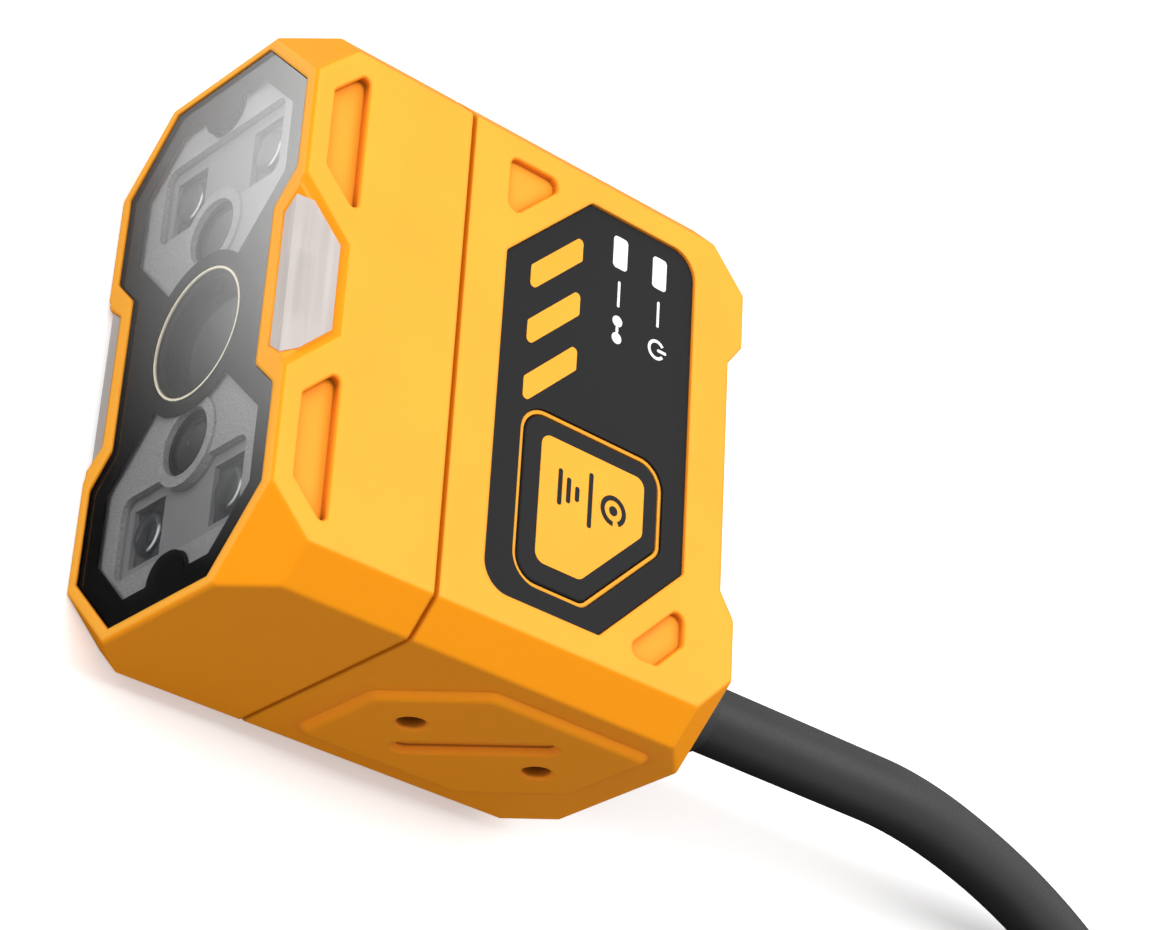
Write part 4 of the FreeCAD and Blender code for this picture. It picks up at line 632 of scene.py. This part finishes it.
# %% [markdown]
# ## The front of the lens
# The solid lens is made of flat facets, and at its very middle, where they meet in one point, a mirror
# image shows a kink. The real glass is ground to a part of a sphere. So its shading takes the direction
# from the middle of that sphere, which follows from the width of the glass and the rise of its crown.

# %% Shade the lens as a sphere
CROWN = 0.8 * MM

glass_low, glass_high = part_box("front_lens_glass")
half_wide = (glass_high.x - glass_low.x) / 2
bow = (half_wide * half_wide + CROWN * CROWN) / (2 * CROWN)
bow_middle = ((glass_low.x + glass_high.x) / 2, glass_low.y + bow, (glass_low.z + glass_high.z) / 2)
ground_glass = finishes["optic_glass"].copy()
ground_glass.name = "ground_glass"
glass_tree = ground_glass.node_tree
outward = reckon_vector(glass_tree, "SUBTRACT", object_place(glass_tree), bow_middle)["Vector"]
direction = reckon_vector(glass_tree, "NORMALIZE", outward)["Vector"]
feed(glass_tree, glass_tree.nodes["Principled BSDF"].inputs["Normal"], direction)
give(parts["front_lens_glass"], ground_glass)
print("lens ground to a radius of %.1f mm" % (bow / MM))

# %% [markdown]
# ## The painted highlight on the light lenses
# Each of the four light lenses has a round shoulder, with a painted highlight on it: a thin white line
# on two sides. The line lies at a fixed distance from the axis of its lens, so every lens has a finish of
# its own. Where the line runs, the plastic turns white and stops being clear. A real lamp could draw the
# line as well, but deep behind the window hardly any of its light would find its way back out.

# %% Draw the gleam on the light lenses
LIGHT_LENSES = 4
GLEAM_RADIUS = 1.78 * MM
GLEAM_WIDE = 0.12 * MM
GLEAM_SIDE = (0.6, 0, 0.8)
GLEAM_LIMITS = (0.62, 0.92)
# Painted highlight: the white of the line on each lens shoulder
GLEAM_PAINTED_WHITE = (0.95, 0.95, 0.95, 1)
ACROSS = (1, 0, 1)


def paint_gleam(finish, middle):
    """A painted highlight: a white line on two sides of the round shoulder about a middle."""
    tree = finish.node_tree
    away = reckon_vector(tree, "SUBTRACT", object_place(tree), middle)["Vector"]
    across = reckon_vector(tree, "MULTIPLY", away, ACROSS)["Vector"]
    reach = reckon_vector(tree, "LENGTH", across)["Value"]
    towards = reckon_vector(tree, "NORMALIZE", across)["Vector"]
    side = reckon_vector(tree, "DOT_PRODUCT", towards, GLEAM_SIDE)["Value"]
    inner = step_between(tree, reach, GLEAM_RADIUS - GLEAM_WIDE, GLEAM_RADIUS)
    outer = step_between(tree, reach, GLEAM_RADIUS + GLEAM_WIDE, GLEAM_RADIUS)
    arcs = step_between(tree, reckon(tree, "ABSOLUTE", side), *GLEAM_LIMITS)
    share = reckon(tree, "MULTIPLY", reckon(tree, "MULTIPLY", inner, outer), arcs)
    shader = tree.nodes["Principled BSDF"]
    base, clearness = shader.inputs["Base Color"], shader.inputs["Transmission Weight"]
    feed(tree, base, colour_mix(tree, share, tuple(base.default_value), GLEAM_PAINTED_WHITE))
    feed(tree, clearness, ramp(tree, share, (0, 1), (clearness.default_value, 0)))


for index in range(1, LIGHT_LENSES + 1):
    name = "lamp_lens_%d" % index
    lens_low, lens_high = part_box(name)
    gleam_finish = finishes["lamp_clear"].copy()
    gleam_finish.name = "lamp_clear_%d" % index
    paint_gleam(gleam_finish, (lens_low + lens_high) / 2)
    give(parts[name], gleam_finish)
print("light lenses finished:", LIGHT_LENSES)

# %% [markdown]
# ## Printed marks
# The panel and the button carry printed marks: stripes, dashes and small signs. Each of them is an
# outline, a list of points on a flat surface. A few functions are enough to draw them all: corners that
# are rounded where the ink is rounded, arcs, open rings and short bars.

# %% Outlines for printed marks
CORNER_STEPS = 6
ARC_DEGREES = 10
ARC_LEAST = 8
FULL_TURN = 360
BAR_ROUND = 0.45


def rounded(corners, radius):
    """A closed outline with each corner turned into an arc."""
    outline = []
    for index, corner in enumerate(corners):
        corner = Vector(corner)
        before = (Vector(corners[index - 1]) - corner).normalized()
        after = (Vector(corners[(index + 1) % len(corners)]) - corner).normalized()
        half = before.angle(after) / 2
        centre = corner + (before + after).normalized() * (radius / math.sin(half))
        start = corner + before * (radius / math.tan(half)) - centre
        end = corner + after * (radius / math.tan(half)) - centre
        sweep = start.angle_signed(end)
        for step in range(CORNER_STEPS + 1):
            angle = -sweep * step / CORNER_STEPS
            turned = Vector((start.x * math.cos(angle) - start.y * math.sin(angle),
                             start.x * math.sin(angle) + start.y * math.cos(angle)))
            outline.append(centre + turned)
    return outline


def circle(middle, radius, start=0, turn=FULL_TURN):
    """Points on an arc about a middle point."""
    steps = max(ARC_LEAST, int(turn / ARC_DEGREES))
    points = []
    for step in range(steps + (turn < FULL_TURN)):
        angle = math.radians(start + turn * step / steps)
        points.append(Vector(middle) + radius * Vector((math.cos(angle), math.sin(angle))))
    return points


def band(middle, radius, wide, start, turn):
    """The outline of an open ring."""
    outer = circle(middle, radius + wide / 2, start, turn)
    inner = circle(middle, radius - wide / 2, start, turn)
    return outer + list(reversed(inner))


def bar(middle, long, wide):
    """A straight mark with rounded corners: its length runs along X, its width along Y."""
    x, y = middle
    corners = [(x - long / 2, y - wide / 2), (x + long / 2, y - wide / 2),
               (x + long / 2, y + wide / 2), (x - long / 2, y + wide / 2)]
    return rounded(corners, BAR_ROUND * min(long, wide))


# %% [markdown]
# ## Ink
# Ink has hardly any thickness, but a drawing that is only a texture blurs when the camera comes near.
# So each mark is a thin plate of its own with a true outline, filled and then lifted by the thickness
# of the ink. All inks share one dull, fine grain and differ in little but colour.

# %% Turn outlines into ink
INK = 0.04
INK_GRAIN = dict(roughness=0.5, grain=0.1, lift=0.001)


def print_marks(name, outlines, height, finish, body):
    """Outlines in millimetres become thin plates of ink that lie on a height."""
    shape = bmesh.new()
    for outline in outlines:
        points = [shape.verts.new((x * MM, y * MM, height)) for x, y in outline]
        face = shape.faces.new(points)
        lifted = bmesh.ops.extrude_face_region(shape, geom=[face])
        top = [item for item in lifted["geom"] if isinstance(item, bmesh.types.BMVert)]
        bmesh.ops.translate(shape, verts=top, vec=(0, 0, INK * MM))
    bmesh.ops.recalc_face_normals(shape, faces=shape.faces)
    mesh = bpy.data.meshes.new(name)
    shape.to_mesh(mesh)
    shape.free()
    mesh.materials.append(finish)
    marks = bpy.data.objects.new(name, mesh)
    bpy.context.collection.objects.link(marks)
    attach(marks, body)
    print(name, len(outlines), "marks", len(mesh.polygons), "faces")


# %% [markdown]
# ## The stripes on the panel
# Three slanted orange stripes stand in a row on the black panel. They are one shape that is repeated at
# an even pitch, so a loop moves the four corners along and rounds them.

# %% Print the stripes
STRIPES = 3
STRIPE_PITCH = 5.5
STRIPE_FRONT = 2.84
STRIPE_LONG = 5.6
STRIPE_WIDE = 2.65
STRIPE_START = -11.3
STRIPE_ROUND = 0.4

panel_low, panel_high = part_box("keypad_panel")
stripe_front = panel_low.y / MM + STRIPE_FRONT
stripe_rear = stripe_front + STRIPE_LONG
stripes = []
for index in range(STRIPES):
    left = STRIPE_START + index * STRIPE_PITCH
    right = left + STRIPE_WIDE
    corners = [(left, stripe_front), (right, stripe_front),
               (right - STRIPE_LONG, stripe_rear), (left - STRIPE_LONG, stripe_rear)]
    stripes.append(rounded(corners, STRIPE_ROUND))
ink_orange = grained("ink_orange", ORANGE, tone=0.03, shine=0.1, **INK_GRAIN)
print_marks("panel_stripes", stripes, panel_high.z, ink_orange, "housing")

# %% [markdown]
# ## The signs beside the lamps
# A thin white dash leads from each lamp to a small sign: a broken ring with a stroke for power, and two
# joined dots for a link. Their places are taken from the lamps themselves, so that lamp, dash and sign
# always stay in line.

# %% Print the dashes and signs
INK_WHITE = (0.88, 0.88, 0.88)
DASH_GAP = 0.8
DASH_LONG = 2.65
DASH_WIDE = 0.27
SIGN_GAP = 2.3
SIGN_RADIUS = 0.85
SIGN_LINE = 0.3
POWER_START, POWER_TURN = 125, 290
STROKE_PLACE = 0.63
STROKE_LONG = 1.05
DOT_RADIUS = 0.55

ink_white = grained("ink_white", INK_WHITE, tone=0.01, **INK_GRAIN)


def beside(lamp):
    """Where the dash and the sign of a lamp have their middles."""
    low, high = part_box(lamp)
    along = (low.y + high.y) / 2 / MM
    dash = high.x / MM + DASH_GAP + DASH_LONG / 2
    return (dash, along), (dash + DASH_LONG / 2 + SIGN_GAP, along)


link_dash, link_sign = beside("indicator_pipe_1")
power_dash, power_sign = beside("indicator_pipe_2")
dashes = [bar(link_dash, DASH_LONG, DASH_WIDE), bar(power_dash, DASH_LONG, DASH_WIDE)]
print_marks("lamp_dashes", dashes, panel_high.z, ink_white, "housing")

power_marks = [
    band(power_sign, SIGN_RADIUS, SIGN_LINE, POWER_START, POWER_TURN),
    bar((power_sign[0], power_sign[1] + STROKE_PLACE), SIGN_LINE, STROKE_LONG),
]
print_marks("power_sign", power_marks, panel_high.z, ink_white, "housing")

link_marks = [
    circle((link_sign[0] - SIGN_RADIUS, link_sign[1]), DOT_RADIUS),
    bar(link_sign, 2 * (SIGN_RADIUS - DOT_RADIUS), SIGN_LINE),
    circle((link_sign[0] + SIGN_RADIUS, link_sign[1]), DOT_RADIUS),
]
print_marks("link_sign", link_marks, panel_high.z, ink_white, "housing")

# %% [markdown]
# ## The push button
# The button is a black cap inside a thin raised ridge. Its face is an orange field of the same shape, a
# little smaller, so its corners follow from the box of the cap. The print rides on the button and not on
# the housing, so it goes down with the button when that is pressed.

# %% Print the button's face
FACE_LEFT, FACE_RIGHT = 1.63, 1.93
FACE_FRONT, FACE_REAR = 1.83, 1.63
FACE_CUT = 6.55
FACE_ROUND = 1.0

cap_low, cap_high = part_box("button_cap")
left, right = cap_low.x / MM + FACE_LEFT, cap_high.x / MM - FACE_RIGHT
front, rear = cap_low.y / MM + FACE_FRONT, cap_high.y / MM - FACE_REAR
corners = [(left, front), (right, front), (right, rear - FACE_CUT), (right - FACE_CUT, rear), (left, rear)]
face = rounded(corners, FACE_ROUND)
print_marks("button_face", [face], cap_high.z, ink_orange, "button")

# %% [markdown]
# ## The signs on the button
# A dark bar crosses the orange field, with a sign on each side of it: an aiming ring with a dot for a
# reading, and three bars for a set-up. They are printed over the orange ink, so they start at its top.

# %% Print the button's signs
BAR_LONG = 5.2
BAR_WIDE = 0.45
BAR_PLACE = (4.3, 5.55)
AIM_PLACE = 2.6
AIM_RADIUS = 1.2
AIM_START, AIM_TURN = 30, 330
AIM_DOT = 0.45
TUNE_PLACE = -2.4
TUNE_PITCH = 0.95
TUNE_BARS = (3.4, 2.4, 1.4)

ink_black = grained("ink_black", SOFT_BLACK, shine=0.1, **INK_GRAIN)
bar_x, bar_y = left + BAR_PLACE[0], front + BAR_PLACE[1]
aim_middle = (bar_x, bar_y + AIM_PLACE)
button_marks = [
    bar((bar_x, bar_y), BAR_LONG, BAR_WIDE),
    band(aim_middle, AIM_RADIUS, BAR_WIDE, AIM_START, AIM_TURN),
    circle(aim_middle, AIM_DOT),
]
for index, long in enumerate(TUNE_BARS):
    button_marks.append(bar((bar_x, bar_y + TUNE_PLACE + (index - 1) * TUNE_PITCH), long, BAR_WIDE))
print_marks("button_signs", button_marks, cap_high.z + INK * MM, ink_black, "button")

# %% [markdown]
# ## The cable
# The cable leaves the gland straight, drops to the table under its own weight, turns round in one easy
# bend and ends in a round connector. A NURBS curve with a few control points bends as a stiff cable
# does, smoothly and without kinks, and its bevel gives it thickness. The first three points lie in one
# line, because a cable of this thickness stays straight for a while after its gland.

# %% Lay the cable
CABLE_DIAMETER = 6.4 * MM
CABLE_ROUTE = [
    (15.0, 16.6, 14.25),
    (15.0, 48.0, 14.25),
    (15.0, 64.0, 14.25),
    (16.0, 95.0, 3.9),
    (29.5, 112.5, 3.25),
    (51.5, 119.5, 3.25),
    (73.0, 112.0, 3.25),
    (86.0, 93.0, 3.25),
    (88.0, 69.0, 3.4),
    (84.0, 44.0, 7.5),
    (79.0, 20.0, 7.5),
]
ROUND_STEPS = 8
BEND_STEPS = 16
BEND_ORDER = 3

line = bpy.data.curves.new("cable", "CURVE")
line.dimensions = "3D"
line.bevel_depth = CABLE_DIAMETER / 2
line.bevel_resolution = ROUND_STEPS
line.resolution_u = BEND_STEPS
line.use_fill_caps = True
run = line.splines.new("NURBS")
run.points.add(len(CABLE_ROUTE) - 1)
for point, place in zip(run.points, CABLE_ROUTE):
    point.co = (*(part * MM for part in place), 1)
run.order_u = BEND_ORDER
run.use_endpoint_u = True
line.materials.append(finishes["cable_black"])
cable = bpy.data.objects.new("cable", line)
bpy.context.collection.objects.link(cable)
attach(cable, "housing")
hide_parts("lead")
print("cable control points:", len(run.points))
